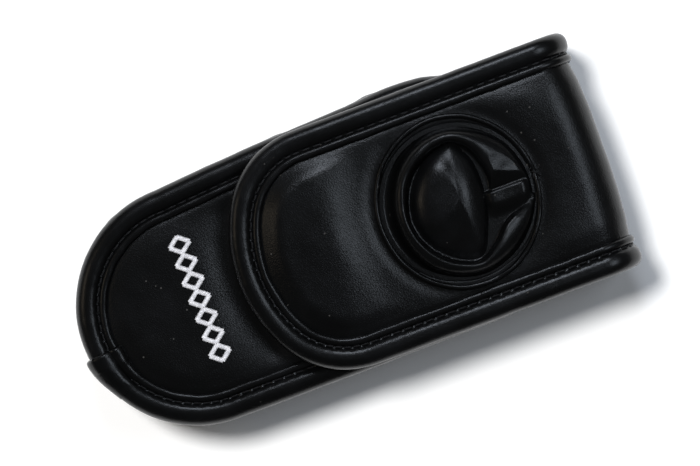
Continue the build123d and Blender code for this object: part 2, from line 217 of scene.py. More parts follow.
class Graph:
    """Node tree of one material."""

    def __init__(self, name: str) -> None:
        """Makes an empty material with an output."""
        self.material = bpy.data.materials.new(name)
        self.material.use_nodes = True
        self.tree = self.material.node_tree
        self.tree.nodes.clear()

    def node(
        self,
        kind: str,
        settings: Optional[dict] = None,
        inputs: Optional[dict] = None,
        output: "int | str" = 0,
    ) -> Socket:
        """Adds a node.

        Args:
            kind: type of the node.
            settings: properties of the node, by name.
            inputs: values or sockets of its inputs, by name or number.
            output: name or number of the output that is returned.

        Returns:
            The chosen output.
        """
        made = self.tree.nodes.new(kind)
        for key, value in (settings or {}).items():
            setattr(made, key, value)
        for key, value in (inputs or {}).items():
            if isinstance(value, Socket):
                self.tree.links.new(value.output, made.inputs[key])
            elif isinstance(value, tuple) and len(value) == 3 and made.inputs[key].type == "RGBA":
                made.inputs[key].default_value = (*value, 1)
            else:
                made.inputs[key].default_value = value
        return Socket(self, made.outputs[output])

    def place(self) -> Socket:
        """Object coordinates, in metres."""
        return self.node("ShaderNodeTexCoord", output="Object")

    def noise(
        self, size: float, detail: float = 2.0, rough: float = 0.5, where: Optional[Socket] = None
    ) -> Socket:
        """Noise from 0 to 1 with features of a size in millimetres."""
        inputs = {
            "Vector": where or self.place(),
            "Scale": 1 / (size * MM),
            "Detail": detail,
            "Roughness": rough,
        }
        return self.node("ShaderNodeTexNoise", {}, inputs)

    def cells(self, size: float, feature: str) -> Socket:
        """Distance of a cell pattern with cells of a size in millimetres."""
        inputs = {"Vector": self.place(), "Scale": 1 / (size * MM)}
        return self.node("ShaderNodeTexVoronoi", {"feature": feature}, inputs)

    def stretched(self, scale: tuple[float, float, float], turn: float = 0.0) -> Socket:
        """Object coordinates, turned about Z and stretched."""
        inputs = {"Vector": self.place(), "Rotation": (0, 0, turn), "Scale": scale}
        return self.node("ShaderNodeMapping", {}, inputs)

    def blend(self, share: Socket, low: "Colour | Socket", high: "Colour | Socket") -> Socket:
        """Colour between two colours."""
        made = self.tree.nodes.new("ShaderNodeMix")
        made.data_type = "RGBA"
        for number, value in ((MIX_FACTOR, share), (MIX_LOW, low), (MIX_HIGH, high)):
            if isinstance(value, Socket):
                self.tree.links.new(value.output, made.inputs[number])
            else:
                made.inputs[number].default_value = (*value, 1)
        return Socket(self, made.outputs[MIX_RESULT])

    def bump(
        self, height: Socket, depth: float, strength: float = 1.0, normal: Optional[Socket] = None
    ) -> Socket:
        """Bumps a surface by a height from 0 to 1 and a depth in millimetres."""
        inputs = {"Height": height, "Distance": depth * MM, "Strength": strength}
        if normal:
            inputs["Normal"] = normal
        return self.node("ShaderNodeBump", {}, inputs)

    def surface(self, inputs: dict) -> bpy.types.Material:
        """Ends the graph with a plain shader.

        Args:
            inputs: values or sockets of the shader's inputs, by name.

        Returns:
            The finished material.
        """
        shader = self.node("ShaderNodeBsdfPrincipled", {}, inputs, "BSDF")
        self.node_output(shader)
        return self.material

    def node_output(self, shader: Socket) -> None:
        """Links a shader to the material's output."""
        out = self.tree.nodes.new("ShaderNodeOutputMaterial")
        self.tree.links.new(shader.output, out.inputs["Surface"])


@dataclass(frozen=True)
class Leatherette:
    """Black leatherette with a pressed grain, a satin gloss and a few dust specks."""

    name: str = "black_leatherette"
    colour: Colour = (0.0014, 0.0015, 0.0016)
    worn_colour: Colour = (0.0036, 0.0038, 0.0044)
    gloss_low: float = 0.26
    gloss_high: float = 0.32
    grain: float = 0.7
    grain_depth: float = 0.028
    wrinkle: float = 4.5
    wrinkle_depth: float = 0.12
    specular: float = 0.4
    dust: float = 0.4

    def material(self) -> bpy.types.Material:
        """Makes the finish's material."""
        g = Graph(self.name)
        warp = g.noise(2.5, 2.0)
        cells = g.cells(self.grain, "DISTANCE_TO_EDGE")
        pores = g.noise(self.grain * 0.45, 3.0, 0.6)
        grain = cells.between(0.0, 0.32) * 0.75 + pores * 0.4 + warp * 0.2
        wrinkle = g.noise(self.wrinkle, 4.0, 0.6)
        cloud = g.noise(16.0, 3.0, 0.55)
        speck = g.cells(3.4, "F1").between(0.085, 0.06) * (g.noise(9.0, 1.0) > 0.56)
        worn = cloud.between(0.42, 0.75) * 0.5 + wrinkle.between(0.55, 0.8) * 0.25
        colour = g.blend(worn, self.colour, self.worn_colour)
        colour = g.blend(speck * self.dust, colour, (0.1, 0.095, 0.09))
        rough = self.gloss_low + (self.gloss_high - self.gloss_low) * cloud + pores * 0.07 + speck * 0.3
        normal = g.bump(wrinkle, self.wrinkle_depth, 0.6)
        normal = g.bump(grain, self.grain_depth, 0.8, normal)
        return g.surface(
            {
                "Base Color": colour,
                "Roughness": rough,
                "Specular IOR Level": self.specular,
                "Normal": normal,
            }
        )


@dataclass(frozen=True)
class LiningCloth:
    """Fine black woven lining, with threads that cross at right angles."""

    name: str = "black_lining_cloth"
    colour: Colour = (0.016, 0.016, 0.019)
    light_colour: Colour = (0.045, 0.045, 0.052)
    thread: float = 0.42
    thread_depth: float = 0.09

    def material(self) -> bpy.types.Material:
        """Makes the finish's material."""
        g = Graph(self.name)
        parts = g.node("ShaderNodeSeparateXYZ", {}, {"Vector": g.place()}, "X")
        split = parts.output.node
        turn = FULL_TURN / (self.thread * MM)
        along = Socket(g, split.outputs["Y"]) + Socket(g, split.outputs["Z"])
        warp = parts.math("SINE", parts * turn)
        weft = parts.math("SINE", along * turn)
        weave = (warp * weft) * 0.5 + 0.5
        fuzz = g.noise(0.5, 2.0)
        cloud = g.noise(12.0, 2.0)
        shade = weave * 0.5 + fuzz * 0.35 + cloud * 0.15
        normal = g.bump(weave * 0.8 + fuzz * 0.4, self.thread_depth)
        return g.surface(
            {
                "Base Color": g.blend(shade, self.colour, self.light_colour),
                "Roughness": 0.62 + cloud * 0.16,
                "Sheen Weight": 0.15,
                "Sheen Roughness": 0.4,
                "Normal": normal,
            }
        )


@dataclass(frozen=True)
class Foam:
    """Dark grey open-cell foam."""

    name: str = "dark_foam"
    colour: Colour = (0.05, 0.05, 0.055)
    cell: float = 0.7

    def material(self) -> bpy.types.Material:
        """Makes the finish's material."""
        g = Graph(self.name)
        holes = g.cells(self.cell, "F1").between(0.15, 0.55)
        cloud = g.noise(6.0, 3.0)
        # The pores are painted darker than the foam around them, as painted shade in the holes.
        colour = g.blend(holes * 0.8 + cloud * 0.2, (0.015, 0.015, 0.017), self.colour)
        normal = g.bump(holes, 0.2)
        return g.surface({"Base Color": colour, "Roughness": 0.85 + cloud * 0.1, "Normal": normal})


@dataclass(frozen=True)
class Board:
    """Pressed grey-brown board with short fibres."""

    name: str = "pressed_board"
    colour: Colour = (0.2, 0.165, 0.12)

    def material(self) -> bpy.types.Material:
        """Makes the finish's material."""
        g = Graph(self.name)
        fibres = g.noise(0.5, 4.0, 0.7, g.stretched((1, 0.25, 1), 0.4))
        cloud = g.noise(9.0, 3.0)
        colour = g.blend(fibres * 0.6 + cloud * 0.4, (0.13, 0.1, 0.07), self.colour)
        normal = g.bump(fibres, 0.08)
        return g.surface({"Base Color": colour, "Roughness": 0.8 + cloud * 0.1, "Normal": normal})


@dataclass(frozen=True)
class Nylon:
    """Black nylon of the hook and loop patches, of a fibre size in millimetres."""

    name: str
    fibre: float
    depth: float
    colour: Colour = (0.012, 0.012, 0.013)
    light_colour: Colour = (0.05, 0.05, 0.053)

    def material(self) -> bpy.types.Material:
        """Makes the finish's material."""
        g = Graph(self.name)
        fibres = g.noise(self.fibre, 4.0, 0.7, g.stretched((1, 0.4, 1), 0.7))
        crossed = g.noise(self.fibre, 4.0, 0.7, g.stretched((0.4, 1, 1), -0.5))
        cloud = g.noise(5.0, 2.0)
        shade = fibres.between(0.4, 0.75) * 0.5 + crossed.between(0.4, 0.75) * 0.5
        return g.surface(
            {
                "Base Color": g.blend(shade, self.colour, self.light_colour),
                "Roughness": 0.55 + cloud * 0.2,
                "Sheen Weight": 0.1,
                "Normal": g.bump(shade, self.depth),
            }
        )


@dataclass(frozen=True)
class Thread:
    """Twisted sewing thread in one colour."""

    name: str
    colour: Colour
    light_colour: Colour
    twist: float = 0.22
    rough: float = 0.5
    sheen: float = 0.0

    def material(self) -> bpy.types.Material:
        """Makes the finish's material."""
        g = Graph(self.name)
        plies = g.noise(self.twist, 1.0, 0.5, g.stretched((1.0, 0.35, 1.0), 0.6))
        cloud = g.noise(2.0, 2.0)
        shade = plies.between(0.35, 0.65) * 0.7 + cloud * 0.3
        return g.surface(
            {
                "Base Color": g.blend(shade, self.colour, self.light_colour),
                "Roughness": self.rough + cloud * 0.15,
                "Sheen Weight": self.sheen,
                "Normal": g.bump(plies, 0.06),
            }
        )


Finish = Union[Leatherette, LiningCloth, Foam, Board, Nylon, Thread]
BLACK_THREAD = Thread("black_thread", (0.0015, 0.0015, 0.0016), (0.008, 0.008, 0.009), rough=0.6)


@dataclass(frozen=True)
class Pouch:
    """Driving sizes of the pouch, in millimetres, with those that the frame shows read from it."""

    back_skin: float
    back_inside: float
    front_inside: float
    front_skin: float
    flap_inside: float
    flap_skin: float
    half_width: float
    flap_tip: float
    body_tip: float
    end_skin: float
    mouth: float
    cup_place: float
    patch_place: float
    end_radius: float = 34.6
    end_shift: float = 1.5
    bulge_left: float = 2.1
    bulge_right: float = 0.3
    fold_radius: float = 9.5
    tip_radius: float = 45.0
    corner_radius: float = 27.0
    leather: float = 1.0
    padding: float = 2.2
    lining: float = 0.6
    tape: float = 0.6
    layer_inset: float = 2.6
    lip_end: float = 9.0
    scoop_radius: float = 60.0
    lean: float = 0.018
    lean_start: float = 45.0
    hip: float = 1.1
    hip_place: float = 29.0
    hip_length: float = 12.0
    tuck: float = 1.1
    tuck_start: float = 37.0
    tuck_length: float = 8.0

    @classmethod
    def from_frame(cls) -> "Pouch":
        """Reads the heights and places from the nodes of the frame."""

        def low(node: str, axis: int) -> float:
            """Lowest coordinate of a node, in millimetres."""
            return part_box(node)[0][axis] / MM

        def high(node: str, axis: int) -> float:
            """Highest coordinate of a node, in millimetres."""
            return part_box(node)[1][axis] / MM

        return cls(
            back_skin=low("back_panel_outer", 2),
            back_inside=low("side_gusset", 2),
            front_inside=high("side_gusset", 2),
            front_skin=high("front_panel_outer", 2),
            flap_inside=high("hook_patch", 2),
            flap_skin=high("flap_outer", 2),
            half_width=high("flap_edge_binding", 0),
            flap_tip=low("flap_edge_binding", 1),
            body_tip=low("front_edge_binding", 1),
            end_skin=high("end_wall_outer", 1),
            mouth=high("side_gusset", 1),
            cup_place=(low("cup_welt", 1) + high("cup_welt", 1)) / 2,
            patch_place=(low("loop_patch", 1) + high("loop_patch", 1)) / 2,
        )

    @property
    def bend(self) -> float:
        """Place along the pouch where both folds begin."""
        return self.end_skin - self.fold_radius

    @property
    def middle(self) -> float:
        """Height of the middle of the end wall."""
        return (self.back_skin + self.flap_skin) / 2

    @property
    def stack(self) -> float:
        """Thickness of leather, padding and lining together."""
        return self.leather + self.padding + self.lining

    @property
    def body_round(self) -> float:
        """Place along the pouch of the centre of its rounded end."""
        return self.body_tip + self.end_radius

    @property
    def scoop_centre(self) -> float:
        """Place along the pouch of the centre of the cut-out at the mouth."""
        return self.scoop_radius + 2.0

    @property
    def flap_corner(self) -> tuple[float, float, float, float]:
        """Curves of the flap's outline.

        Returns:
            The corner's centre across, the tip's centre along, their distance, and the corner's centre along.
        """
        across = self.half_width - self.corner_radius
        centre = self.flap_tip + self.tip_radius
        reach = self.tip_radius - self.corner_radius
        return across, centre, reach, centre - math.sqrt(reach**2 - across**2)

    def leaned(self, x: float, y: float) -> float:
        """Place along the pouch once the slight lean of its folded end is added."""
        return y - x * self.lean * smooth_step(self.lean_start, self.end_skin, y)

    def body_edge(self, side: Side, y: float, inset: float = 0.0) -> float:
        """Place across of the body's outline.

        Args:
            side: side of the pouch.
            y: place along the pouch.
            inset: distance inside the outline.

        Returns:
            The place along X.
        """
        sign = side.value
        if y < self.body_round:
            radius = self.end_radius - inset
            drop = self.body_round - y
            return self.end_shift + sign * math.sqrt(max(0.0, radius**2 - drop**2))
        share = min(1.0, (y - self.body_round) / (self.bend - self.body_round))
        bulge = self.bulge_right if side is Side.RIGHT else self.bulge_left
        start = self.end_shift + sign * self.end_radius
        straight = mix(start, sign * self.half_width, share)
        hip = self.hip * bell(y, self.hip_place, self.hip_length) if side is Side.LEFT else 0.0
        tuck = smooth_step(self.tuck_start, self.tuck_start + self.tuck_length, y)
        tuck *= self.tuck * (1 - smooth_step(self.mouth - 1.0, self.bend, y))
        return straight + sign * (4 * bulge * share * (1 - share) + hip - tuck - inset)

    def flap_edge(self, side: Side, y: float, inset: float = 0.0) -> float:
        """Place across of the flap's outline, as body_edge gives the body's."""
        across, centre, reach, corner = self.flap_corner
        if y >= corner:
            return side.value * (self.half_width - inset)
        radius = self.corner_radius - inset
        tangent = corner - radius * (centre - corner) / reach
        if y >= tangent:
            return side.value * (across + math.sqrt(max(0.0, radius**2 - (corner - y) ** 2)))
        wide = self.tip_radius - inset
        return side.value * math.sqrt(max(0.0, wide**2 - (centre - y) ** 2))

    def body_depth(self, x: float, y: float) -> float:
        """Distance of a point inside the body's outline."""
        if y < self.body_round:
            return self.end_radius - math.hypot(x - self.end_shift, y - self.body_round)
        return min(x - self.body_edge(Side.LEFT, y), self.body_edge(Side.RIGHT, y) - x)

    def flap_depth(self, x: float, y: float) -> float:
        """Distance of a point inside the flap's outline."""
        across, centre, reach, corner = self.flap_corner
        if y >= corner:
            return self.half_width - abs(x)
        if math.atan2(abs(x), centre - y) < math.acos((centre - corner) / reach):
            return self.tip_radius - math.hypot(x, centre - y)
        return self.corner_radius - math.hypot(abs(x) - across, corner - y)

    def front_place(self, x: float, run: float, rise: float) -> Vector:
        """Point on or above the flap's skin, round the front fold.

        Args:
            x: place across.
            run: length along the skin, which is the place along up to the fold.
            rise: height above the skin.

        Returns:
            The point.
        """
        past = run - self.bend
        height = self.flap_skin - self.fold_radius
        if past <= 0:
            y, z = run, self.flap_skin + rise
        elif past < self.fold_radius * math.pi / 2:
            angle = past / self.fold_radius
            radius = self.fold_radius + rise
            y, z = self.bend + radius * math.sin(angle), height + radius * math.cos(angle)
        else:
            y, z = self.end_skin + rise, height - (past - self.fold_radius * math.pi / 2)
        return Vector((x, self.leaned(x, y), z))

    def back_place(self, x: float, run: float, rise: float) -> Vector:
        """Point on or outside the back panel's skin, round the back fold."""
        point = self.front_place(x, run, rise)
        return Vector((point.x, point.y, 2 * self.middle - point.z))

    @property
    def run_end(self) -> float:
        """Run along the skin at the middle of the end wall."""
        straight = self.flap_skin - self.fold_radius - self.middle
        return self.bend + self.fold_radius * math.pi / 2 + straight


@dataclass(frozen=True)
class Station:
    """Place on a seam: a point, the outward and upward directions there, and the length so far."""

    point: Vector
    outward: Vector
    up: Vector
    reach: float

    def frame(self) -> Matrix:
        """Matrix that carries a section's outward, along and upward coordinates to this place."""
        along = self.up.cross(self.outward)
        turned = Matrix((self.outward, along, self.up)).transposed().to_4x4()
        return Matrix.Translation(self.point) @ turned


class Seam:
    """Line along an edge, as evenly spaced stations."""

    def __init__(self, points: Sequence[tuple[Vector, Vector]], step: float) -> None:
        """Spaces stations evenly along points that each have an upward direction.

        Args:
            points: close points and their upward directions, clockwise seen from above.
            step: spacing of the stations.
        """
        reach = [0.0]
        for (a, _), (b, _) in zip(points, points[1:]):
            reach.append(reach[-1] + (b - a).length)
        self.length = reach[-1]
        count = max(2, round(self.length / step))
        spots: list[tuple[Vector, Vector]] = []
        index = 0
        for number in range(count + 1):
            wanted = self.length * number / count
            while index < len(reach) - 2 and reach[index + 1] < wanted:
                index += 1
            share = (wanted - reach[index]) / max(1e-9, reach[index + 1] - reach[index])
            place = points[index][0].lerp(points[index + 1][0], share)
            up = points[index][1].lerp(points[index + 1][1], share).normalized()
            spots.append((place, up))
        self.stations: list[Station] = []
        for number, (place, up) in enumerate(spots):
            before = spots[max(0, number - 1)][0]
            after = spots[min(count, number + 1)][0]
            outward = up.cross(after - before).normalized()
            self.stations.append(Station(place, outward, up, self.length * number / count))

    def at(self, reach: float) -> Station:
        """Station nearest to a length along the seam."""
        share = min(1.0, max(0.0, reach / self.length))
        return self.stations[round(share * (len(self.stations) - 1))]


class Outlines:
    """Seam lines of the pouch's edges."""

    fine = 0.4
    upwards = Vector((0, 0, 1))

    def __init__(self, pouch: Pouch) -> None:
        """Keeps the pouch's sizes."""
        self.pouch = pouch

    def body_line(self, height: float, top: float) -> list[tuple[Vector, Vector]]:
        """Points round the body from its right side over the rounded end to its left side.

        Args:
            height: height of the line.
            top: place along the pouch where both sides begin.

        Returns:
            Points with their upward directions.
        """
        p = self.pouch
        line = []
        y = top
        while y > p.body_round:
            line.append((p.body_edge(Side.RIGHT, y), y))
            y -= self.fine
        turns = round(math.pi * p.end_radius / self.fine)
        for number in range(turns + 1):
            angle = -math.pi * number / turns
            across = p.end_shift + p.end_radius * math.cos(angle)
            line.append((across, p.body_round + p.end_radius * math.sin(angle)))
        y = p.body_round + self.fine
        while y < top:
            line.append((p.body_edge(Side.LEFT, y), y))
            y += self.fine
        line.append((p.body_edge(Side.LEFT, top), top))
        return [(Vector((x, p.leaned(x, y), height)), self.upwards) for x, y in line]

    def fold_line(self, side: Side, start: float, back: bool) -> list[tuple[Vector, Vector]]:
        """Points along one side of a skin, from a run over the fold to the middle of the end wall."""
        p = self.pouch
        place = p.back_place if back else p.front_place
        steps = round((p.run_end - start) / self.fine)
        line = []
        for number in range(steps + 1):
            run = mix(start, p.run_end, number / steps)
            x = side.value * p.half_width
            foot = place(x, run, 0)
            line.append((foot, (place(x, run, 1) - foot).normalized()))
        return line

    def flap_line(self) -> list[tuple[Vector, Vector]]:
        """Points round the flap, from the end wall's right side over the tip to its left side."""
        p = self.pouch
        across, centre, reach, corner = p.flap_corner
        tangent = math.acos((centre - corner) / reach)
        half = []
        turns = round(p.corner_radius * (math.pi / 2 - tangent) / self.fine)
        for number in range(turns + 1):
            angle = mix(math.pi / 2, tangent, number / turns)
            x = across + p.corner_radius * math.sin(angle)
            half.append((x, corner - p.corner_radius * math.cos(angle)))
        turns = round(p.tip_radius * tangent / self.fine)
        for number in range(1, turns + 1):
            angle = mix(tangent, 0, number / turns)
            half.append((p.tip_radius * math.sin(angle), centre - p.tip_radius * math.cos(angle)))
        right = [(Vector((x, y, p.flap_skin)), self.upwards) for x, y in half]
        left = [(Vector((-x, y, p.flap_skin)), self.upwards) for x, y in reversed(half[:-1])]
        down = list(reversed(self.fold_line(Side.RIGHT, corner + self.fine, False)))
        return down + right + left + self.fold_line(Side.LEFT, corner + self.fine, False)


class Workshop:
    """Turns finished bmeshes into pieces of the scene."""

    def __init__(self) -> None:
        """Starts with no pieces and no materials."""
        self.materials: dict[str, bpy.types.Material] = {}
        self.count = 0

    def dress(self, finish: Finish) -> bpy.types.Material:
        """Material of a finish, made once."""
        if finish.name not in self.materials:
            self.materials[finish.name] = finish.material()
        return self.materials[finish.name]

    def piece(
        self,
        name: str,
        bm: bmesh.types.BMesh,
        finish: Finish,
        slot: Slot,
        sharp: float = 50.0,
        thickness: float = 0.0,
    ) -> bpy.types.Object:
        """Makes an object of a bmesh that is drawn in millimetres.

        Args:
            name: name of the piece.
            bm: its shape, which is freed.
            finish: finish of its surface.
            slot: material slot of the record, which is not used.
            sharp: angle in degrees above which an edge stays sharp.
            thickness: wall that is added behind an open sheet, or 0 for a closed shape.

        Returns:
            The new object, at the origin.
        """
        if not thickness:
            bmesh.ops.recalc_face_normals(bm, faces=bm.faces)
        bmesh.ops.scale(bm, vec=(MM, MM, MM), verts=bm.verts)
        mesh = bpy.data.meshes.new(name)
        bm.to_mesh(mesh)
        bm.free()
        piece = bpy.data.objects.new(name, mesh)
        bpy.context.scene.collection.objects.link(piece)
        if thickness:
            wall = piece.modifiers.new("wall", "SOLIDIFY")
            wall.thickness = thickness * MM
            wall.offset = -1.0
            graph = bpy.context.evaluated_depsgraph_get()
            solid = bpy.data.meshes.new_from_object(piece.evaluated_get(graph))
            piece.modifiers.clear()
            piece.data = solid
            bpy.data.meshes.remove(mesh)
            solid.name = name
        piece.data.shade_smooth()
        piece.data.set_sharp_from_angle(angle=math.radians(sharp))
        piece.data.materials.clear()
        piece.data.materials.append(self.dress(finish))
        self.count += 1
        LOG.info("made %s with %d faces", name, len(piece.data.polygons))
        return piece

    @staticmethod
    def ride(piece: bpy.types.Object, body: Body, *nodes: str) -> None:
        """Lets a piece move with a body, and stand for nodes of the frame."""
        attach(piece, body.value)
        if nodes:
            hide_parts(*nodes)


def sweep(
    section: Sequence[Point],
    stations: Sequence[Station],
    relief: Optional[Callable[[Station, float, float], Point]] = None,
    closed: bool = True,
) -> bmesh.types.BMesh:
    """Carries a section along a seam.

    Args:
        section: points of the section, as outward and upward distances.
        stations: places that the section passes.
        relief: shift of a section's point at a station, as outward and upward distances.
        closed: whether the section is a loop, whose two ends are then capped.

    Returns:
        The swept shape.
    """
    bm = bmesh.new()
    start = stations[0].frame()
    verts = [bm.verts.new(start @ Vector((u, 0, h))) for u, h in section]
    pairs = list(zip(verts, verts[1:] + verts[:1])) if closed else list(zip(verts, verts[1:]))
    edges = [bm.edges.new(pair) for pair in pairs]
    rings = [(stations[0], verts)]
    if closed:
        bm.faces.new(list(reversed(verts)))
    for before, station in zip(stations, stations[1:]):
        grown = bmesh.ops.extrude_edge_only(bm, edges=edges)["geom"]
        verts = [item for item in grown if isinstance(item, bmesh.types.BMVert)]
        fresh = set(verts)
        edges = [e for e in grown if isinstance(e, bmesh.types.BMEdge) and set(e.verts) <= fresh]
        move = station.frame() @ before.frame().inverted()
        bmesh.ops.transform(bm, matrix=move, verts=verts)
        rings.append((station, verts))
    if closed:
        bmesh.ops.edgeloop_fill(bm, edges=edges)
    if relief:
        for station, ring in rings:
            frame = station.frame()
            back = frame.inverted()
            for vert in ring:
                spot = back @ vert.co
                out, up = relief(station, spot.x, spot.z)
                vert.co = frame @ Vector((spot.x + out, 0, spot.z + up))
    return bm


def grid_sheet(
    columns: int,
    rows: int,
    spot: Callable[[float, float], Vector],
    flip: bool = False,
) -> bmesh.types.BMesh:
    """Sheet of even faces.

    Args:
        columns: faces across.
        rows: faces along.
        spot: point at a share across and a share along, each from 0 to 1.
        flip: whether the faces look the other way.

    Returns:
        The open sheet.
    """
    bm = bmesh.new()
    bmesh.ops.create_grid(bm, x_segments=columns, y_segments=rows, size=1.0)
    for vert in bm.verts:
        vert.co = spot((vert.co.x + 1) / 2, (vert.co.y + 1) / 2)
    if flip:
        bmesh.ops.reverse_faces(bm, faces=bm.faces)
    return bm


def turned_profile(
    profile: Sequence[Point], steps: int, closed: bool = False, merge: float = 0.001
) -> bmesh.types.BMesh:
    """Turns a profile once round the Z axis.

    Args:
        profile: points of the profile, as outward and upward distances.
        steps: faces round the turn.
        closed: whether the profile is a loop.
        merge: distance under which points are joined.

    Returns:
        The turned shape.
    """
    bm = bmesh.new()
    verts = [bm.verts.new((out, 0, up)) for out, up in profile]
    after = verts[1:] + verts[:1] if closed else verts[1:]
    edges = [bm.edges.new(pair) for pair in zip(verts, after)]
    bmesh.ops.spin(
        bm,
        geom=verts + edges,
        cent=(0, 0, 0),
        axis=(0, 0, 1),
        angle=FULL_TURN,
        steps=steps,
        use_merge=True,
        use_duplicate=False,
    )
    bmesh.ops.remove_doubles(bm, verts=bm.verts, dist=merge)
    return bm


def soften(bm: bmesh.types.BMesh, verts: Sequence[bmesh.types.BMVert], passes: int) -> None:
    """Smooths vertices in every direction, several times."""
    for _ in range(passes):
        bmesh.ops.smooth_vert(bm, verts=verts, factor=0.5, use_axis_x=True, use_axis_y=True, use_axis_z=True)


def add_thread(
    bm: bmesh.types.BMesh, place: Matrix, turn: float, size: tuple[float, float, float], segments: int = 8
) -> None:
    """Adds one rounded length of thread.

    Args:
        bm: mesh that the thread is added to.
        place: where its middle lies.
        turn: its turn about the upright, from the line along the pouch.
        size: half its width, half its length and half its height.
        segments: faces round the thread.
    """
    lay = Matrix.Rotation(turn, 4, "Z")
    upright = Matrix.Rotation(math.radians(90), 4, "X")
    matrix = place @ lay @ Matrix.Diagonal((*size, 1.0)) @ upright
    bmesh.ops.create_uvsphere(bm, u_segments=segments, v_segments=6, radius=1.0, matrix=matrix)


def cut_round_hole(bm: bmesh.types.BMesh, centre: Point, radius: float) -> None:
    """Opens a round hole in the flat part of a sheet and draws its edge onto the circle."""
    middle = Vector((*centre, 0))

    def distance(vert: bmesh.types.BMVert) -> float:
        """Distance from the hole's centre, seen from above."""
        return math.hypot(vert.co.x - middle.x, vert.co.y - middle.y)

    inside = [f for f in bm.faces if all(distance(v) < radius + 0.45 for v in f.verts)]
    bmesh.ops.delete(bm, geom=inside, context="FACES")
    near = [v for v in bm.verts if distance(v) < radius + 2.5 and any(e.is_boundary for e in v.link_edges)]
    for vert in near:
        scale = radius / distance(vert)
        vert.co.x = middle.x + (vert.co.x - middle.x) * scale
        vert.co.y = middle.y + (vert.co.y - middle.y) * scale


def stitch_row(
    bm: bmesh.types.BMesh,
    seam: Seam,
    outward: float,
    rise: float,
    pitch: float,
    length: float,
    radius: float,
    start: float = 0.0,
    end: float = math.inf,
) -> None:
    """Adds a row of single stitches along a seam.

    Args:
        bm: mesh that the stitches are added to.
        seam: line that they follow.
        outward: distance outside the line, negative inside it.
        rise: height over the line.
        pitch: spacing of the stitches.
        length: length of one stitch.
        radius: half the thickness of the thread.
        start: reach of the first stitch.
        end: reach of the last stitch.
    """
    reach = start + pitch / 2
    while reach < min(end, seam.length) - pitch / 2:
        station = seam.at(reach)
        sway = 0.1 * ripple(reach, outward, 7.0, 3.1)
        place = station.frame() @ Matrix.Translation((outward + sway, 0, rise))
        turn = math.radians(4.0) * ripple(reach, 0, 2.0, 8.2)
        add_thread(bm, place, turn, (radius, length / 2, radius * 0.8))
        reach += pitch


@dataclass
class EdgeTape:
    """Leatherette tape folded over an edge: a soft roll, a stitched groove and a thin lip."""

    under: float
    rise: float = 1.4
    core: float = 2.6
    groove_start: float = 6.15
    groove_width: float = 0.6
    groove_floor: float = -0.2
    lip_width: float = 2.35
    lip_rise: float = 1.05
    leaf: float = 6.9
    tape: float = 0.6
    pitch: float = 3.3
    pucker: float = 0.12
    bridge: float = 0.6
    swell: float = 0.12
    seed: float = 0.0

    @property
    def base(self) -> float:
        """Height of the tape's underside over the skin."""
        return self.under - self.tape

    @property
    def roll(self) -> float:
        """Half the thickness of the roll."""
        return (self.rise - self.base) / 2

    def crown(self) -> list[Point]:
        """Top of the section from the lip's end over the groove and the roll to the nose's foot."""
        groove = self.groove_start + self.groove_width
        steps = 11
        points = []
        for number in range(11):
            angle = math.pi * number / 10
            across = -groove - self.lip_width / 2 - self.lip_width / 2 * math.cos(angle)
            points.append((across, mix(-0.3, self.lip_rise, math.sin(angle) ** 0.62)))
        points.append((-groove + 0.08, self.groove_floor))
        points.append((-self.groove_start - 0.06, self.groove_floor))
        reach = self.groove_start - self.roll
        for number in range(1, steps + 1):
            share = 1 - number / steps
            fall = (1 - share**2.3) ** 0.5
            height = mix(self.groove_floor, self.rise, fall)
            points.append((-self.roll - reach * share, height))
        middle = (self.rise + self.base) / 2
        for number in range(1, 13):
            angle = math.pi * number / 12
            points.append((-self.roll + self.roll * math.sin(angle), middle + self.roll * math.cos(angle)))
        return points

    def section(self) -> list[Point]:
        """Closed section, open towards the layers that the tape holds."""
        inner = [
            (-self.leaf, self.base),
            (-self.leaf, self.under),
            (-self.core, self.under),
            (-self.core, -0.5),
            (-self.groove_start - self.groove_width - self.lip_width, -0.5),
        ]
        return self.crown() + inner

    def relief(self, station: Station, u: float, h: float) -> Point:
        """Puckers at the stitches, soft swellings of the roll and an uneven lip.

        Args:
            station: place on the seam.
            u: outward distance of the point.
            h: height of the point.

        Returns:
            Its shift outwards and upwards.
        """
        reach = station.reach
        if self.base + 0.02 <= h <= -0.45 and u < -self.core + 0.1:
            return 0.0, 0.0
        out, up = 0.0, 0.0
        pull = 0.5 + 0.5 * math.cos(FULL_TURN * reach / self.pitch)
        on_top = smooth_step(-1.0, 0.0, h)
        up -= self.pucker * pull * bell(u, -self.groove_start + 0.4, 0.5) * on_top
        if -0.2 < u + self.groove_start + self.groove_width < self.groove_width + 0.2 and h < 0:
            up += self.bridge * pull**3
        if u > -self.groove_start:
            soft = self.swell * ripple(reach, self.seed, 9.0, 1.7) + 0.04 * ripple(reach, h, 3.0, 5.3)
            middle = (self.rise + self.base) / 2
            away = Vector((u + self.roll, h - middle))
            away.normalize()
            out += soft * away.x
            up += soft * away.y * on_top
        if u < -self.groove_start - self.groove_width:
            out += 0.22 * ripple(reach, self.seed, 5.0, 9.4) * bell(u, -9.0, 0.8)
            up += 0.1 * ripple(reach, self.seed, 6.0, 2.2) * on_top
        return out, up

    def mesh(self, seam: Seam) -> bmesh.types.BMesh:
        """Sweeps the tape along a seam."""
        return sweep(self.section(), seam.stations, self.relief)

    def stitches(self, bm: bmesh.types.BMesh, seam: Seam, start: float = 0.0, end: float = math.inf) -> None:
        """Adds the tape's stitches in its groove."""
        middle = -self.groove_start - self.groove_width / 2
        stitch_row(bm, seam, middle, self.groove_floor + 0.14, self.pitch, self.pitch * 0.8, 0.3, start, end)


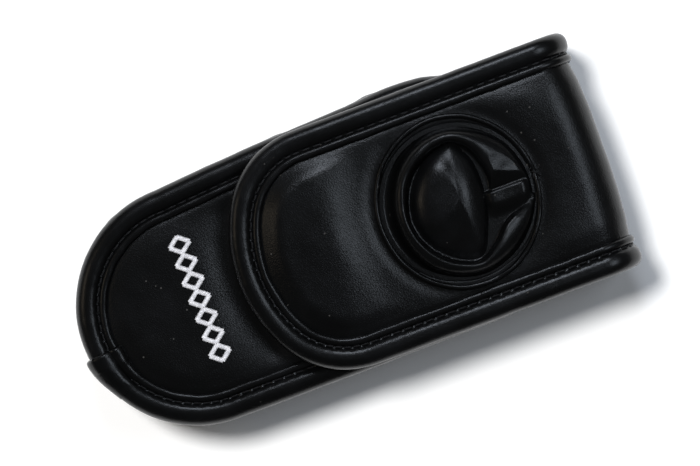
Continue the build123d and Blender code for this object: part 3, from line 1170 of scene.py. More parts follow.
@dataclass
class Reliefs:
    """Soft rises and hollows of the padded skins."""

    pouch: Pouch
    flap_hump: float = 1.35
    flap_crown: float = 0.5
    body_crown: float = 0.45
    trough: float = 0.8
    fold_puff: float = 0.8
    fold_brow: float = 0.6
    fine: float = 0.07
    lip_depth: float = 8.8
    full_depth: float = 15.0

    def inside(self, depth: float) -> float:
        """Share of the relief that a skin keeps at a depth, from none beside the tape's lip."""
        return smooth_step(self.lip_depth, self.full_depth, depth)

    def sink(self, depth: float) -> float:
        """Step down of a skin where it goes under the tape's lip."""
        return -0.5 * (1 - smooth_step(8.3, 9.9, depth))

    def flap(self, x: float, run: float) -> float:
        """Height of the flap's skin over its plane.

        Args:
            x: place across.
            run: length along the skin.

        Returns:
            The height.
        """
        p = self.pouch
        depth = p.flap_depth(x, min(run, p.bend))
        inner = self.inside(depth)
        bow = run + 0.06 * x
        hump = self.flap_hump * mix(1.0, 0.6, smooth_step(0, 24, x)) * (1 - smooth_step(-4.0, 12.0, bow))
        swell = self.flap_crown * (1 - smooth_step(20, 60, abs(x)))
        fold = self.fold_puff * bell(run, p.bend + 12, 9.0) * smooth_step(8.8, 26.0, depth)
        brow = self.fold_brow * (1 - smooth_step(54.0, 73.0, run)) * smooth_step(30.0, 46.0, run)
        cup = math.hypot(x / CUP_ACROSS, (run - p.cup_place - CUP_SHIFT[1]) / CUP_ALONG)
        ring = -0.45 * bell(cup, 24.9, 1.5)
        soft = 0.22 * ripple(x, run, 17.0, 4.2) + self.fine * ripple(x, run, 5.0, 1.3)
        free = smooth_step(22.0, 37.0, cup)
        return inner * ((hump + swell + brow + soft) * free + fold + ring) + self.sink(depth)

    def body(self, x: float, run: float) -> float:
        """Height of the body's front skin over its plane."""
        p = self.pouch
        depth = p.body_depth(x, run)
        inner = self.inside(depth)
        tip = p.flap_tip + 0.0111 * x * x
        hollow = -self.trough * bell(run, tip - 2.0, 5.0)
        crown = self.body_crown * (1 - smooth_step(-44.0, -33.0, run))
        soft = 0.16 * ripple(x, run, 15.0, 7.7) + self.fine * ripple(x, run, 5.0, 6.1)
        under_flap = smooth_step(p.flap_tip + 9, p.flap_tip + 2, run)
        return inner * (crown + hollow + soft) * under_flap + self.sink(depth)

    def back(self, x: float, run: float) -> float:
        """Height of the back panel's skin over its plane."""
        p = self.pouch
        depth = p.body_depth(x, min(run, p.bend))
        inner = self.inside(depth)
        loop = smooth_step(22, 26, abs(x)) + smooth_step(36, 40, abs(run))
        soft = 0.25 * ripple(x, run, 14.0, 2.9) + self.fine * ripple(x, run, 5.0, 3.9)
        return inner * soft * min(1.0, loop) + self.sink(depth)


@dataclass
class Shell:
    """Panels, edge tapes and stitching of the pouch and its flap."""

    pouch: Pouch
    shop: Workshop
    outlines: Outlines
    reliefs: Reliefs
    leather: Leatherette = Leatherette()
    tape_finish: Leatherette = Leatherette(
        name="black_edge_tape",
        gloss_low=0.22,
        gloss_high=0.3,
        wrinkle=2.6,
        wrinkle_depth=0.06,
        grain_depth=0.016,
    )
    cloth: LiningCloth = LiningCloth()
    foam: Foam = Foam()
    thread: Thread = BLACK_THREAD
    face: float = 1.25
    seam_step: float = 0.55
    mouth_tuck: float = 1.4
    skin_hole: float = 21.2
    padding_hole: float = 22.0
    lining_hole: float = 19.0
    rim: float = 1.4
    rim_start: float = 2.0
    tail_thickness: float = 1.5
    tail_clearance: float = 0.06

    def bend_flap(self, piece: bpy.types.Object, *nodes: str) -> None:
        """Bakes the placement of a piece into its mesh and hides the nodes of the frame that it stands for.
        """
        p = self.pouch
        end = (0, p.bend * MM, p.flap_skin * MM)
        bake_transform(piece)
        if nodes:
            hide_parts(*nodes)

    def bend_back(self, piece: bpy.types.Object, *nodes: str) -> None:
        """Bakes the placement of a piece into its mesh and hides the nodes of the frame that it stands for.
        """
        p = self.pouch
        start = (0, p.bend * MM, p.back_skin * MM)
        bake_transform(piece)
        if nodes:
            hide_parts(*nodes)

    def layer(
        self,
        back: bool,
        depth: float,
        inset: float,
        relief: Callable[[float, float], float],
        face: float,
    ) -> bmesh.types.BMesh:
        """Open sheet of one layer of the flap or the back, from its tip to the middle of the end wall.

        Args:
            back: whether it is the back's layer.
            depth: depth of its outer face below the skin.
            inset: distance inside the outline.
            relief: height of the skin at a place across and a run.
            face: size of its faces.

        Returns:
            The sheet, whose faces look outwards.
        """
        p = self.pouch
        edge = p.body_edge if back else p.flap_edge
        place = p.back_place if back else p.front_place
        start = (p.body_tip if back else p.flap_tip) + inset + 2.0
        rows = round((p.run_end - start) / face)
        columns = round(2 * p.half_width / face)

        def spot(across: float, along: float) -> Vector:
            """Point of the sheet."""
            run = mix(start, p.run_end, along)
            y = min(run, p.bend)
            x = mix(edge(Side.LEFT, y, inset), edge(Side.RIGHT, y, inset), across)
            ease = smooth_step(0, 1, min(run - start, 4.0) / 4.0)
            return place(x, run, relief(x, run) * ease - depth)

        return grid_sheet(columns, rows, spot, flip=back)

    def flap_panels(self) -> None:
        """Leather, padding and lining of the flap, which bend down over half of the end wall."""
        p = self.pouch
        centre = (CUP_SHIFT[0], p.cup_place + CUP_SHIFT[1])
        relief = self.reliefs.flap
        skin = self.layer(False, 0.0, p.layer_inset, relief, self.face)
        cut_round_hole(skin, centre, self.skin_hole)
        piece = self.shop.piece("flap_skin", skin, self.leather, Slot.LEATHER, thickness=p.leather)
        self.bend_flap(piece, "flap_outer", "end_wall_outer")
        padding = self.layer(False, p.leather, p.layer_inset, relief, 2 * self.face)
        cut_round_hole(padding, centre, self.padding_hole)
        piece = self.shop.piece("flap_padding", padding, self.foam, Slot.FOAM, thickness=p.padding)
        self.bend_flap(piece, "flap_foam", "end_wall_foam")
        lining = self.layer(False, p.leather + p.padding, p.layer_inset, self.flat, self.face)
        cut_round_hole(lining, centre, self.lining_hole)
        piece = self.shop.piece("flap_lining_sheet", lining, self.cloth, Slot.LINING, thickness=p.lining)
        self.bend_flap(piece, "flap_lining", "end_wall_lining")

    @staticmethod
    def flat(x: float, run: float) -> float:
        """No relief but the cloth's slight unevenness."""
        return 0.05 * ripple(x, run, 9.0, 5.8)

    def back_panels(self) -> None:
        """Leather, padding and lining of the back, which bend up over half of the end wall."""
        p = self.pouch
        relief = self.reliefs.back
        skin = self.layer(True, 0.0, p.layer_inset, relief, self.face)
        piece = self.shop.piece("back_skin", skin, self.leather, Slot.LEATHER, thickness=p.leather)
        self.bend_back(piece, "back_panel_outer")
        padding = self.layer(True, p.leather, p.layer_inset, relief, 2 * self.face)
        piece = self.shop.piece("back_padding", padding, self.foam, Slot.FOAM, thickness=p.padding)
        self.bend_back(piece, "back_foam")
        lining = self.layer(True, p.leather + p.padding, p.layer_inset, self.flat, self.face)
        piece = self.shop.piece("back_lining_sheet", lining, self.cloth, Slot.LINING, thickness=p.lining)
        self.bend_back(piece, "back_lining")

    def front_layer(
        self, depth: float, relief: Callable[[float, float], float], face: float
    ) -> bmesh.types.BMesh:
        """Open sheet of one layer of the front panel, from the rounded end to the cut-out at the mouth."""
        p = self.pouch
        start = p.body_tip + p.layer_inset + 2.0
        columns = round(2 * p.half_width / face)
        rows = round((self.rim_start - start) / face)

        def spot(across: float, along: float) -> Vector:
            """Point of the sheet."""
            base = mix(start, self.rim_start, along)
            left = p.body_edge(Side.LEFT, base, p.layer_inset)
            x = mix(left, p.body_edge(Side.RIGHT, base, p.layer_inset), across)
            radius = p.scoop_radius + self.rim
            top = p.scoop_centre - math.sqrt(radius**2 - x**2)
            y = mix(start, top, along)
            return Vector((x, y, p.front_skin + relief(x, y) - depth))

        return grid_sheet(columns, rows, spot)

    def front_panels(self) -> None:
        """Leather, padding and lining of the front panel, with the strips beside the mouth."""
        p = self.pouch
        skin = self.front_layer(0.0, self.reliefs.body, self.face)
        piece = self.shop.piece("front_skin", skin, self.leather, Slot.LEATHER, thickness=p.leather)
        self.shop.ride(piece, Body.POUCH, "front_panel_outer")
        padding = self.front_layer(p.leather, self.reliefs.body, 2 * self.face)
        piece = self.shop.piece("front_padding", padding, self.foam, Slot.FOAM, thickness=p.padding)
        self.shop.ride(piece, Body.POUCH, "front_foam")
        lining = self.front_layer(p.leather + p.padding, self.flat, self.face)
        piece = self.shop.piece("front_lining_sheet", lining, self.cloth, Slot.LINING, thickness=p.lining)
        self.shop.ride(piece, Body.POUCH, "front_lining")
        for side, name in ((Side.RIGHT, "right"), (Side.LEFT, "left")):
            self.mouth_strip(side, name)

    def mouth_strip(self, side: Side, name: str) -> None:
        """Narrow padded strip of the front panel beside the mouth, on one side."""
        p = self.pouch
        low, high = -p.stack + 0.05, -0.05
        outer, inner = -p.layer_inset - 0.05, -p.lip_end
        corner = 0.7
        section = []
        corners = ((inner, high, 90), (outer, high, 0), (outer, low, -90), (inner, low, -180))
        for u, h, angle in corners:
            centre_u = u - math.copysign(corner, u - (outer + inner) / 2)
            centre_h = h - math.copysign(corner, h - (low + high) / 2)
            for number in range(5):
                turn = math.radians(angle + 90 - 90 * number / 4)
                section.append((centre_u + corner * math.cos(turn), centre_h + corner * math.sin(turn)))
        points = []
        steps = 60
        for number in range(steps + 1):
            y = mix(5.0, p.mouth, number / steps)
            x = p.body_edge(side, y)
            points.append((Vector((x, p.leaned(x, y), p.front_skin)), Outlines.upwards))
        if side is Side.RIGHT:
            points.reverse()
        strip = sweep(section, Seam(points, 2.0).stations)
        piece = self.shop.piece(f"mouth_strip_{name}", strip, self.cloth, Slot.LINING, sharp=60)
        self.shop.ride(piece, Body.POUCH)

    def rim_tape(self) -> None:
        """Plain tape folded over the rounded rim of the front panel at the mouth."""
        p = self.pouch
        low, high = -p.stack - p.tape, p.tape
        roll = (high - low) / 2
        middle = (high + low) / 2
        section = [(-5.0, high - p.tape), (-5.0, high - 0.1), (-4.8, high)]
        for number in range(13):
            angle = math.pi * number / 12
            section.append((-roll + roll * math.sin(angle), middle + roll * math.cos(angle)))
        section += [(-4.8, low), (-5.0, low + 0.1), (-5.0, low + p.tape)]
        section += [(-1.5, low + p.tape), (-1.5, high - p.tape)]
        reach = math.asin(25.6 / (p.scoop_radius + 5))
        points = []
        for number in range(81):
            angle = mix(-reach, reach, number / 80)
            x = p.scoop_radius * math.sin(angle)
            y = p.scoop_centre - p.scoop_radius * math.cos(angle)
            points.append((Vector((x, y, p.front_skin)), Outlines.upwards))
        seam = Seam(points, self.seam_step)

        def relief(station: Station, u: float, h: float) -> Point:
            """Slight unevenness of the tape."""
            soft = 0.1 * ripple(station.reach, h, 5.0, 4.4)
            return (soft, 0.0) if u > -1.0 else (0.0, 0.0)

        tape = sweep(section, seam.stations, relief)
        piece = self.shop.piece("mouth_rim_tape", tape, self.tape_finish, Slot.TAPE)
        self.shop.ride(piece, Body.POUCH, "mouth_rim_binding")
        threads = bmesh.new()
        stitch_row(threads, seam, -4.1, high + 0.02, 3.0, 2.4, 0.26)
        piece = self.shop.piece("mouth_rim_stitches", threads, self.thread, Slot.TAPE)
        self.shop.ride(piece, Body.POUCH)

    def flap_tape(self) -> None:
        """Edge tape of the flap, which runs over the fold to the middle of the end wall."""
        p = self.pouch
        tape = EdgeTape(under=-p.stack, seed=0.0)
        seam = Seam(self.outlines.flap_line(), self.seam_step)
        piece = self.shop.piece("flap_edge_tape", tape.mesh(seam), self.tape_finish, Slot.TAPE)
        self.bend_flap(piece, "flap_edge_binding", "end_wall_binding_right", "end_wall_binding_left")
        threads = bmesh.new()
        tape.stitches(threads, seam)
        piece = self.shop.piece("flap_stitches", threads, self.thread, Slot.TAPE)
        self.bend_flap(piece)

    def body_tapes(self) -> None:
        """Edge tapes of the body: one on the front, and one on the back that goes on over the fold."""
        p = self.pouch
        front = EdgeTape(under=-p.stack - p.leather, seed=11.0)
        seam = Seam(self.outlines.body_line(p.front_skin, p.mouth), self.seam_step)
        piece = self.shop.piece("front_edge_tape", front.mesh(seam), self.tape_finish, Slot.TAPE)
        self.shop.ride(piece, Body.POUCH, "front_edge_binding")
        threads = bmesh.new()
        front.stitches(threads, seam)
        piece = self.shop.piece("front_stitches", threads, self.thread, Slot.TAPE)
        self.shop.ride(piece, Body.POUCH)
        self.tail(front)
        back = EdgeTape(under=-p.stack, seed=23.0)
        line = self.outlines.body_line(p.back_skin, p.bend)
        line = [(point, -up) for point, up in reversed(line)]
        left = self.outlines.fold_line(Side.LEFT, p.bend + 0.4, True)
        right = self.outlines.fold_line(Side.RIGHT, p.bend + 0.4, True)
        whole = list(reversed(left)) + line + right
        seam = Seam(whole, self.seam_step)
        piece = self.shop.piece("back_edge_tape", back.mesh(seam), self.tape_finish, Slot.TAPE)
        self.bend_back(piece, "back_edge_binding")
        threads = bmesh.new()
        back.stitches(threads, seam)
        piece = self.shop.piece("back_stitches", threads, self.thread, Slot.TAPE)
        self.bend_back(piece)

    def tail(self, tape: EdgeTape) -> None:
        """Overlapping end of the front tape, which thins out away from its cut end."""
        p = self.pouch
        start_angle, sweep_angle = math.radians(7.0), math.radians(24.0)
        points = []
        steps = 60
        for number in range(steps + 1):
            angle = start_angle + sweep_angle * (1 - number / steps)
            x = p.end_shift + p.end_radius * math.sin(angle)
            y = p.body_round - p.end_radius * math.cos(angle)
            points.append((Vector((x, y, p.front_skin)), Outlines.upwards))
        tail_seam = Seam(points, 0.25)
        crown = tape.crown()
        normals = []
        for number, (u, h) in enumerate(crown):
            before = crown[max(0, number - 1)]
            after = crown[min(len(crown) - 1, number + 1)]
            way = Vector((after[0] - before[0], after[1] - before[1])).normalized()
            normals.append((-way.y, way.x))
        thick, clear = self.tail_thickness, self.tail_clearance
        outer = [(u + thick * n, h + thick * m) for (u, h), (n, m) in zip(crown, normals)]
        inner = [(u + clear * n, h + clear * m) for (u, h), (n, m) in zip(crown, normals)]
        section = outer + list(reversed(inner))
        thin = {}
        for (u, h), (v, k) in zip(outer, inner):
            thin[(round(u, 3), round(h, 3))] = (v - u, k - h)

        def relief(station: Station, u: float, h: float) -> Point:
            """Thins the overlap towards its hidden end and crumples it a little."""
            share = 1 - station.reach / tail_seam.length
            shift = thin.get((round(u, 3), round(h, 3)))
            if shift is None:
                return 0.0, 0.0
            keep = smooth_step(0.0, 0.9, 1 - share) * 0.85 + 0.05
            left = min(1.0, (tail_seam.length - station.reach) / 1.3)
            keep *= math.sqrt(1 - (1 - left) ** 2)
            crumple = 0.14 * ripple(station.reach, u, 2.6, 6.6)
            return shift[0] * (1 - keep) * 0.94, shift[1] * (1 - keep) * 0.94 + crumple * (h > 0)

        cover = sweep(section, tail_seam.stations, relief)
        piece = self.shop.piece("tape_tail", cover, self.tape_finish, Slot.TAPE)
        self.shop.ride(piece, Body.POUCH, "binding_tail")

    def tuck(self, station: Station) -> float:
        """Outward shift of the gusset at a station, which draws it in towards the mouth."""
        mouth = self.pouch.mouth
        return -self.mouth_tuck * smooth_step(mouth - 18, mouth - 7, station.point.y)

    def gusset(self) -> None:
        """Puffed side wall between the two edge tapes, with its lining and the hems at the mouth."""
        p = self.pouch
        height = (p.front_inside + p.back_inside) / 2
        half = (p.front_inside - p.back_inside) / 2
        radius = half - p.leather - p.tape
        centre = 0.3 - radius
        neck, flange = 7.3, p.layer_inset
        section = [(-flange, half), (-flange, half - p.leather), (-neck, half - p.leather)]
        turns = 20
        for number in range(turns + 1):
            angle = math.pi * number / turns
            section.append((centre + radius * math.sin(angle), radius * math.cos(angle)))
        section += [(-neck, -half + p.leather), (-flange, -half + p.leather), (-flange, -half)]
        section += [(-neck - 1, -half), (-neck - 1, -radius)]
        inner = radius - p.leather
        for number in range(turns + 1):
            angle = math.pi * (1 - number / turns)
            section.append((centre + inner * math.sin(angle), inner * math.cos(angle)))
        section += [(-neck - 1, radius), (-neck - 1, half)]
        seam = Seam(self.outlines.body_line(height, p.mouth), 0.8)

        def relief(station: Station, u: float, h: float) -> Point:
            """Upright puckers that are deepest beside the seams."""
            bulge = smooth_step(-7.2, -3.0, u) * smooth_step(half - 1.2, half - 3.0, abs(h))
            soft = 0.5 * ripple(station.reach, h * 0.3, 11.0, 2.4)
            soft += 0.3 * ripple(station.reach, h * 0.2, 4.0, 8.8)
            return soft * bulge + self.tuck(station) * smooth_step(-7.2, -5.0, u), 0.0

        wall = sweep(section, seam.stations, relief)
        piece = self.shop.piece("gusset_wall", wall, self.leather, Slot.LEATHER)
        self.shop.ride(piece, Body.POUCH, "side_gusset")
        lining = []
        for number in range(turns + 1):
            angle = math.pi * number / turns
            lining.append((centre + (inner - 0.35) * math.sin(angle), (inner - 0.35) * math.cos(angle)))
        for number in range(turns + 1):
            angle = math.pi * (1 - number / turns)
            lining.append((centre + (inner - 0.9) * math.sin(angle), (inner - 0.9) * math.cos(angle)))

        def tucked(station: Station, u: float, h: float) -> Point:
            """Lining that follows the wall's tuck at the mouth."""
            return self.tuck(station), 0.0

        sheet = sweep(lining, seam.stations, tucked)
        piece = self.shop.piece("gusset_lining_sheet", sheet, self.cloth, Slot.LINING)
        self.shop.ride(piece, Body.POUCH, "gusset_lining")
        for side, name in ((Side.RIGHT, "right"), (Side.LEFT, "left")):
            self.hem(side, name, centre, radius, inner, height)

    def hem(self, side: Side, name: str, centre: float, outer: float, inner: float, height: float) -> None:
        """Plain tape folded over the end of the gusset at the mouth, on one side."""
        p = self.pouch
        far, near, edge = p.mouth - 6.0, p.mouth + 0.65, 0.35
        high, low = outer + 0.1, inner - 1.0
        ring = [
            (high, far),
            (high + p.tape, far + 0.1),
            (high + p.tape, near - edge),
            (high + p.tape - edge, near),
            (low - p.tape + edge, near),
            (low - p.tape, near - edge),
            (low - p.tape, far + 0.1),
            (low, far),
            (low, p.mouth + 0.05),
            (high, p.mouth + 0.05),
        ]
        bm = bmesh.new()
        reach = math.radians(62.0)
        x = p.body_edge(side, p.mouth) + side.value * (centre - self.mouth_tuck)
        start = -reach if side is Side.RIGHT else math.pi - reach
        verts = [
            bm.verts.new((x + r * math.cos(start), p.leaned(x, y), height + r * math.sin(start)))
            for r, y in ring
        ]
        edges = [bm.edges.new(pair) for pair in zip(verts, verts[1:] + verts[:1])]
        bm.faces.new(verts)
        bmesh.ops.spin(
            bm,
            geom=edges,
            cent=(x, 0, height),
            axis=(0, -1, 0),
            angle=2 * reach,
            steps=28,
            use_duplicate=False,
        )
        rim = [e for e in bm.edges if e.is_boundary]
        bmesh.ops.edgeloop_fill(bm, edges=rim)
        piece = self.shop.piece(f"mouth_hem_{name}", bm, self.tape_finish, Slot.TAPE)
        self.shop.ride(piece, Body.POUCH, f"gusset_hem_{name}")

    def build(self) -> None:
        """Makes every panel, tape and seam."""
        self.flap_panels()
        self.back_panels()
        self.front_panels()
        self.rim_tape()
        self.flap_tape()
        self.body_tapes()
        self.gusset()


@dataclass
class LensCup:
    """Sewn cup for the lens: a welt ring, a thick rolled wall with a folded gore, and a domed crown."""

    pouch: Pouch
    shop: Workshop
    leather: Leatherette = Leatherette(
        name="soft_leatherette",
        gloss_low=0.22,
        gloss_high=0.28,
        grain=0.5,
        grain_depth=0.02,
        wrinkle=3.2,
        wrinkle_depth=0.08,
        dust=0.35,
    )
    thread: Thread = BLACK_THREAD
    welt_radius: float = 23.3
    welt_width: float = 1.5
    welt_rise: float = 1.7
    leaf: float = 0.7
    wall_outer: float = 22.6
    wall_inner: float = 7.0
    floor: float = 0.35
    channel: float = 1.5
    wall_edge: float = 22.6
    crown_top: float = 4.45
    crown_fall: float = 3.2
    crown_middle: Point = (-1.0, 0.6)
    crown_smoothing: int = 10
    fold_line: tuple[tuple[float, ...], ...] = (
        (86, 9.5, 12.4, 3.4, 21.0),
        (105, 10.6, 13.6, 3.7, 21.0),
        (131, 12.4, 15.6, 4.1, 21.0),
        (150, 14.9, 17.4, 4.4, 20.8),
        (168, 16.6, 18.5, 4.5, 20.9),
        (180, 16.2, 18.2, 4.5, 20.8),
        (200, 15.3, 17.4, 4.5, 20.2),
        (225, 14.7, 16.7, 4.5, 19.4),
        (250, 14.2, 15.9, 4.5, 18.8),
        (275, 14.7, 15.8, 4.5, 18.9),
        (300, 15.2, 16.3, 4.5, 19.6),
        (322, 16.0, 17.1, 4.5, 20.6),
        (345, 17.1, 18.1, 4.5, 21.2),
        (362, 17.7, 18.8, 4.4, 21.5),
        (379, 16.0, 17.1, 4.3, 21.4),
        (402, 14.5, 15.7, 3.9, 21.3),
        (415, 15.6, 16.7, 3.0, 21.4),
        (424, 18.0, 18.9, 1.8, 21.5),
        (430, 20.2, 20.8, 0.6, 21.6),
    )
    crown_line: tuple[Point, ...] = (
        (-16.4, 4.0),
        (-16.2, 0.4),
        (-14.9, -3.8),
        (-12.2, -7.6),
        (-9.0, -10.4),
        (-4.8, -12.8),
        (0.3, -13.9),
        (5.2, -13.3),
        (9.7, -11.2),
        (13.6, -7.4),
        (16.3, -3.4),
        (17.0, 0.2),
        (15.4, 2.9),
        (11.0, 5.0),
        (6.0, 6.9),
        (1.0, 7.9),
        (-4.5, 8.3),
        (-10.5, 7.5),
    )

    @property
    def centre(self) -> Vector:
        """Centre of the ring as the pouch shows it."""
        return Vector((CUP_SHIFT[0], self.pouch.cup_place + CUP_SHIFT[1], 0))

    def spot(self, x: float, y: float, rise: float) -> Vector:
        """Point over the skin, at a place from the cup's centre."""
        return Vector((self.centre.x + x, self.centre.y + y, self.pouch.flap_skin + rise))

    def welt(self) -> None:
        """Thin raised ring sewn round the cup, with its overlap at the gore."""
        section = []
        for number in range(12):
            angle = FULL_TURN * number / 12
            flat = 0.75 if math.sin(angle) < 0 else 1.0
            across = self.welt_radius + self.welt_width / 2 * math.cos(angle)
            section.append((across, self.welt_rise * 0.5 * (1 + math.sin(angle) * flat)))
        bm = turned_profile(section, 240, closed=True)
        for vert in bm.verts:
            angle = math.atan2(vert.co.y, vert.co.x)
            wave = 0.16 * ripple(math.cos(angle) * 20, math.sin(angle) * 20, 6.0, 2.0)
            knot = bell(math.degrees(angle), 91.0, 4.0)
            lift = vert.co.z * (1 + 0.18 * ripple(angle * 20, 0, 5.0, 3.0)) - 0.5 * knot
            vert.co = self.spot(
                vert.co.x * CUP_ACROSS * (1 + wave / 22),
                vert.co.y * CUP_ALONG * (1 + wave / 22),
                max(0.03, lift),
            )
        piece = self.shop.piece("cup_ring", bm, self.leather, Slot.TAPE)
        self.shop.ride(piece, Body.FLAP, "cup_welt")

    def fold(self, x: float, y: float) -> float:
        """Height of the rolled fold, which widens into a lobe at each side of the gore.

        Args:
            x: place across, from the cup's centre.
            y: place along, from the cup's centre.

        Returns:
            The height over the floor of the cup.
        """
        radius, angle = math.hypot(x, y), math.degrees(math.atan2(y, x))
        turned = angle if angle >= 77 else angle + 360
        first, last = self.fold_line[0][0], self.fold_line[-1][0]
        if not first <= turned <= last:
            return 0.0
        _, inner, crest, height, foot = spline(self.fold_line, turned)
        if radius > crest:
            share, power = min(1.0, (radius - crest) / (foot - crest)), 2.0
        else:
            share, power = min(1.0, (crest - radius) / (crest - inner)), 2.4
        return height * (1 - share**power) ** 0.6

    def wall_height(self, x: float, y: float) -> float:
        """Height of the wall and its gore over the skin, at a place from the cup's centre."""
        radius, angle = math.hypot(x / CUP_ACROSS, y / CUP_ALONG), math.degrees(math.atan2(y, x))
        rise = self.fold(x, y)
        if y > 6 and x < 1.5:
            facet = 3.5 - 0.24 * (y - 12.8) + 0.1 * max(0.0, -4.4 - x)
            rise = min(rise, facet if y > 10.5 else rise, 0.5 + 0.62 * max(0.0, 0.3 - x))
        tongue = 1.5 * smooth_step(-0.1, 1.0, x) * smooth_step(8.5, 3.5, x) * smooth_step(6.5, 9.5, y)
        tongue *= smooth_step(22.0, 18.8, radius)
        turned = angle + 360 if angle < 77 else max(angle, self.fold_line[0][0])
        rise += 0.4 * bell(radius, 19.0, 0.9) * bell(turned, 322, 24) * (rise > 0)
        soft = 0.14 * ripple(x, y, 5.5, 3.3) + 0.05 * ripple(x, y, 2.4, 9.9)
        top = max(rise, tongue)
        foot = spline(self.fold_line, min(turned, self.fold_line[-1][0]))[4]
        width = max(0.2, self.wall_edge - foot)
        share = min(1.0, max(0.0, (math.hypot(x, y) - foot) / width))
        channel = min(self.channel, 0.5 * width) * math.sin(math.pi * share)
        return self.floor + top - channel + soft * min(1.0, top)

    def wall(self) -> None:
        """Soft wall of the cup, from under the ring to under the crown."""
        rings = 54
        line = [(mix(self.wall_outer, self.wall_inner, n / rings), 0.0) for n in range(rings + 1)]
        bm = turned_profile(line, 300)
        for vert in bm.verts:
            x, y = vert.co.x * CUP_ACROSS, vert.co.y * CUP_ALONG
            vert.co = self.spot(x, y, self.wall_height(x, y))
        soften(bm, bm.verts, 1)
        self.face_up(bm)
        piece = self.shop.piece("cup_wall_fold", bm, self.leather, Slot.SOFT_LEATHER, 80, thickness=self.leaf)
        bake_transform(piece)
        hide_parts("cup_wall", "cup_gore")

    @staticmethod
    def face_up(bm: bmesh.types.BMesh) -> None:
        """Turns an open sheet's faces to look up."""
        bmesh.ops.recalc_face_normals(bm, faces=bm.faces)
        if sum(f.normal.z for f in bm.faces) < 0:
            bmesh.ops.reverse_faces(bm, faces=bm.faces)

    def crown_edge(self, angle: float) -> Point:
        """Point of the crown's egg-shaped edge, which starts at its tip and goes round by its lowest Y."""
        count = len(self.crown_line)
        knots = [(number, *self.crown_line[number % count]) for number in range(-1, count + 2)]
        _, x, y = spline(knots, (angle % FULL_TURN) / FULL_TURN * count)
        return x, y

    def crown(self) -> None:
        """Domed crown, which pops up with the lens and stands in for the padding under it."""
        rings = 22
        bm = turned_profile([(n / rings, 0.0) for n in range(rings + 1)], 128, merge=0.0001)
        for vert in bm.verts:
            share, angle = math.hypot(vert.co.x, vert.co.y), math.atan2(vert.co.y, vert.co.x)
            edge_x, edge_y = self.crown_edge(angle)
            x, y = mix(self.crown_middle[0], edge_x, share), mix(self.crown_middle[1], edge_y, share)
            # The angle is the mesh's own, so these shares aren't tied to directions on the pouch.
            flat = smooth_step(0.1, 0.8, math.sin(angle))
            steep = smooth_step(0.5, 1.0, -math.cos(angle)) * (1 - flat)
            rounded = (math.hypot(share, 0.35) - 0.35) / (math.hypot(1, 0.35) - 0.35)
            rise = self.crown_top - self.crown_fall * rounded ** (1.35 + 2.6 * flat - 0.25 * steep)
            soft = 0.14 * ripple(x, y, 7.0, 5.1)
            vert.co = self.spot(x, y, rise + soft * (1 - share) - 0.8 * smooth_step(0.95, 1.0, share))
        inner = [v for v in bm.verts if not v.is_boundary]
        soften(bm, inner, self.crown_smoothing)
        self.face_up(bm)
        slot = Slot.SOFT_LEATHER
        piece = self.shop.piece("cup_crown_dome", bm, self.leather, slot, 80, thickness=self.leaf)
        self.shop.ride(piece, Body.CROWN, "cup_crown_cover", "cup_crown_pad")

    def knot(self) -> None:
        """Loose thread ends where the ring's stitching stops."""
        bm = bmesh.new()
        ends = (
            (-1.6, 22.4, 1.0, 35, 1.5),
            (-0.4, 23.1, 1.3, -20, 1.2),
            (0.5, 22.6, 0.9, 70, 1.3),
            (-1.0, 24.2, 0.5, 10, 1.4),
            (0.9, 24.4, 0.4, -50, 1.0),
        )
        for x, y, rise, turn, length in ends:
            place = Matrix.Translation(self.spot(x, y, rise))
            add_thread(bm, place, math.radians(turn), (0.22, length / 2 + 0.3, 0.22))
        piece = self.shop.piece("cup_ring_knot", bm, self.thread, Slot.TAPE)
        self.shop.ride(piece, Body.FLAP)

    def build(self) -> None:
        """Makes the cup's pieces."""
        self.welt()
        self.wall()
        self.crown()
        self.knot()


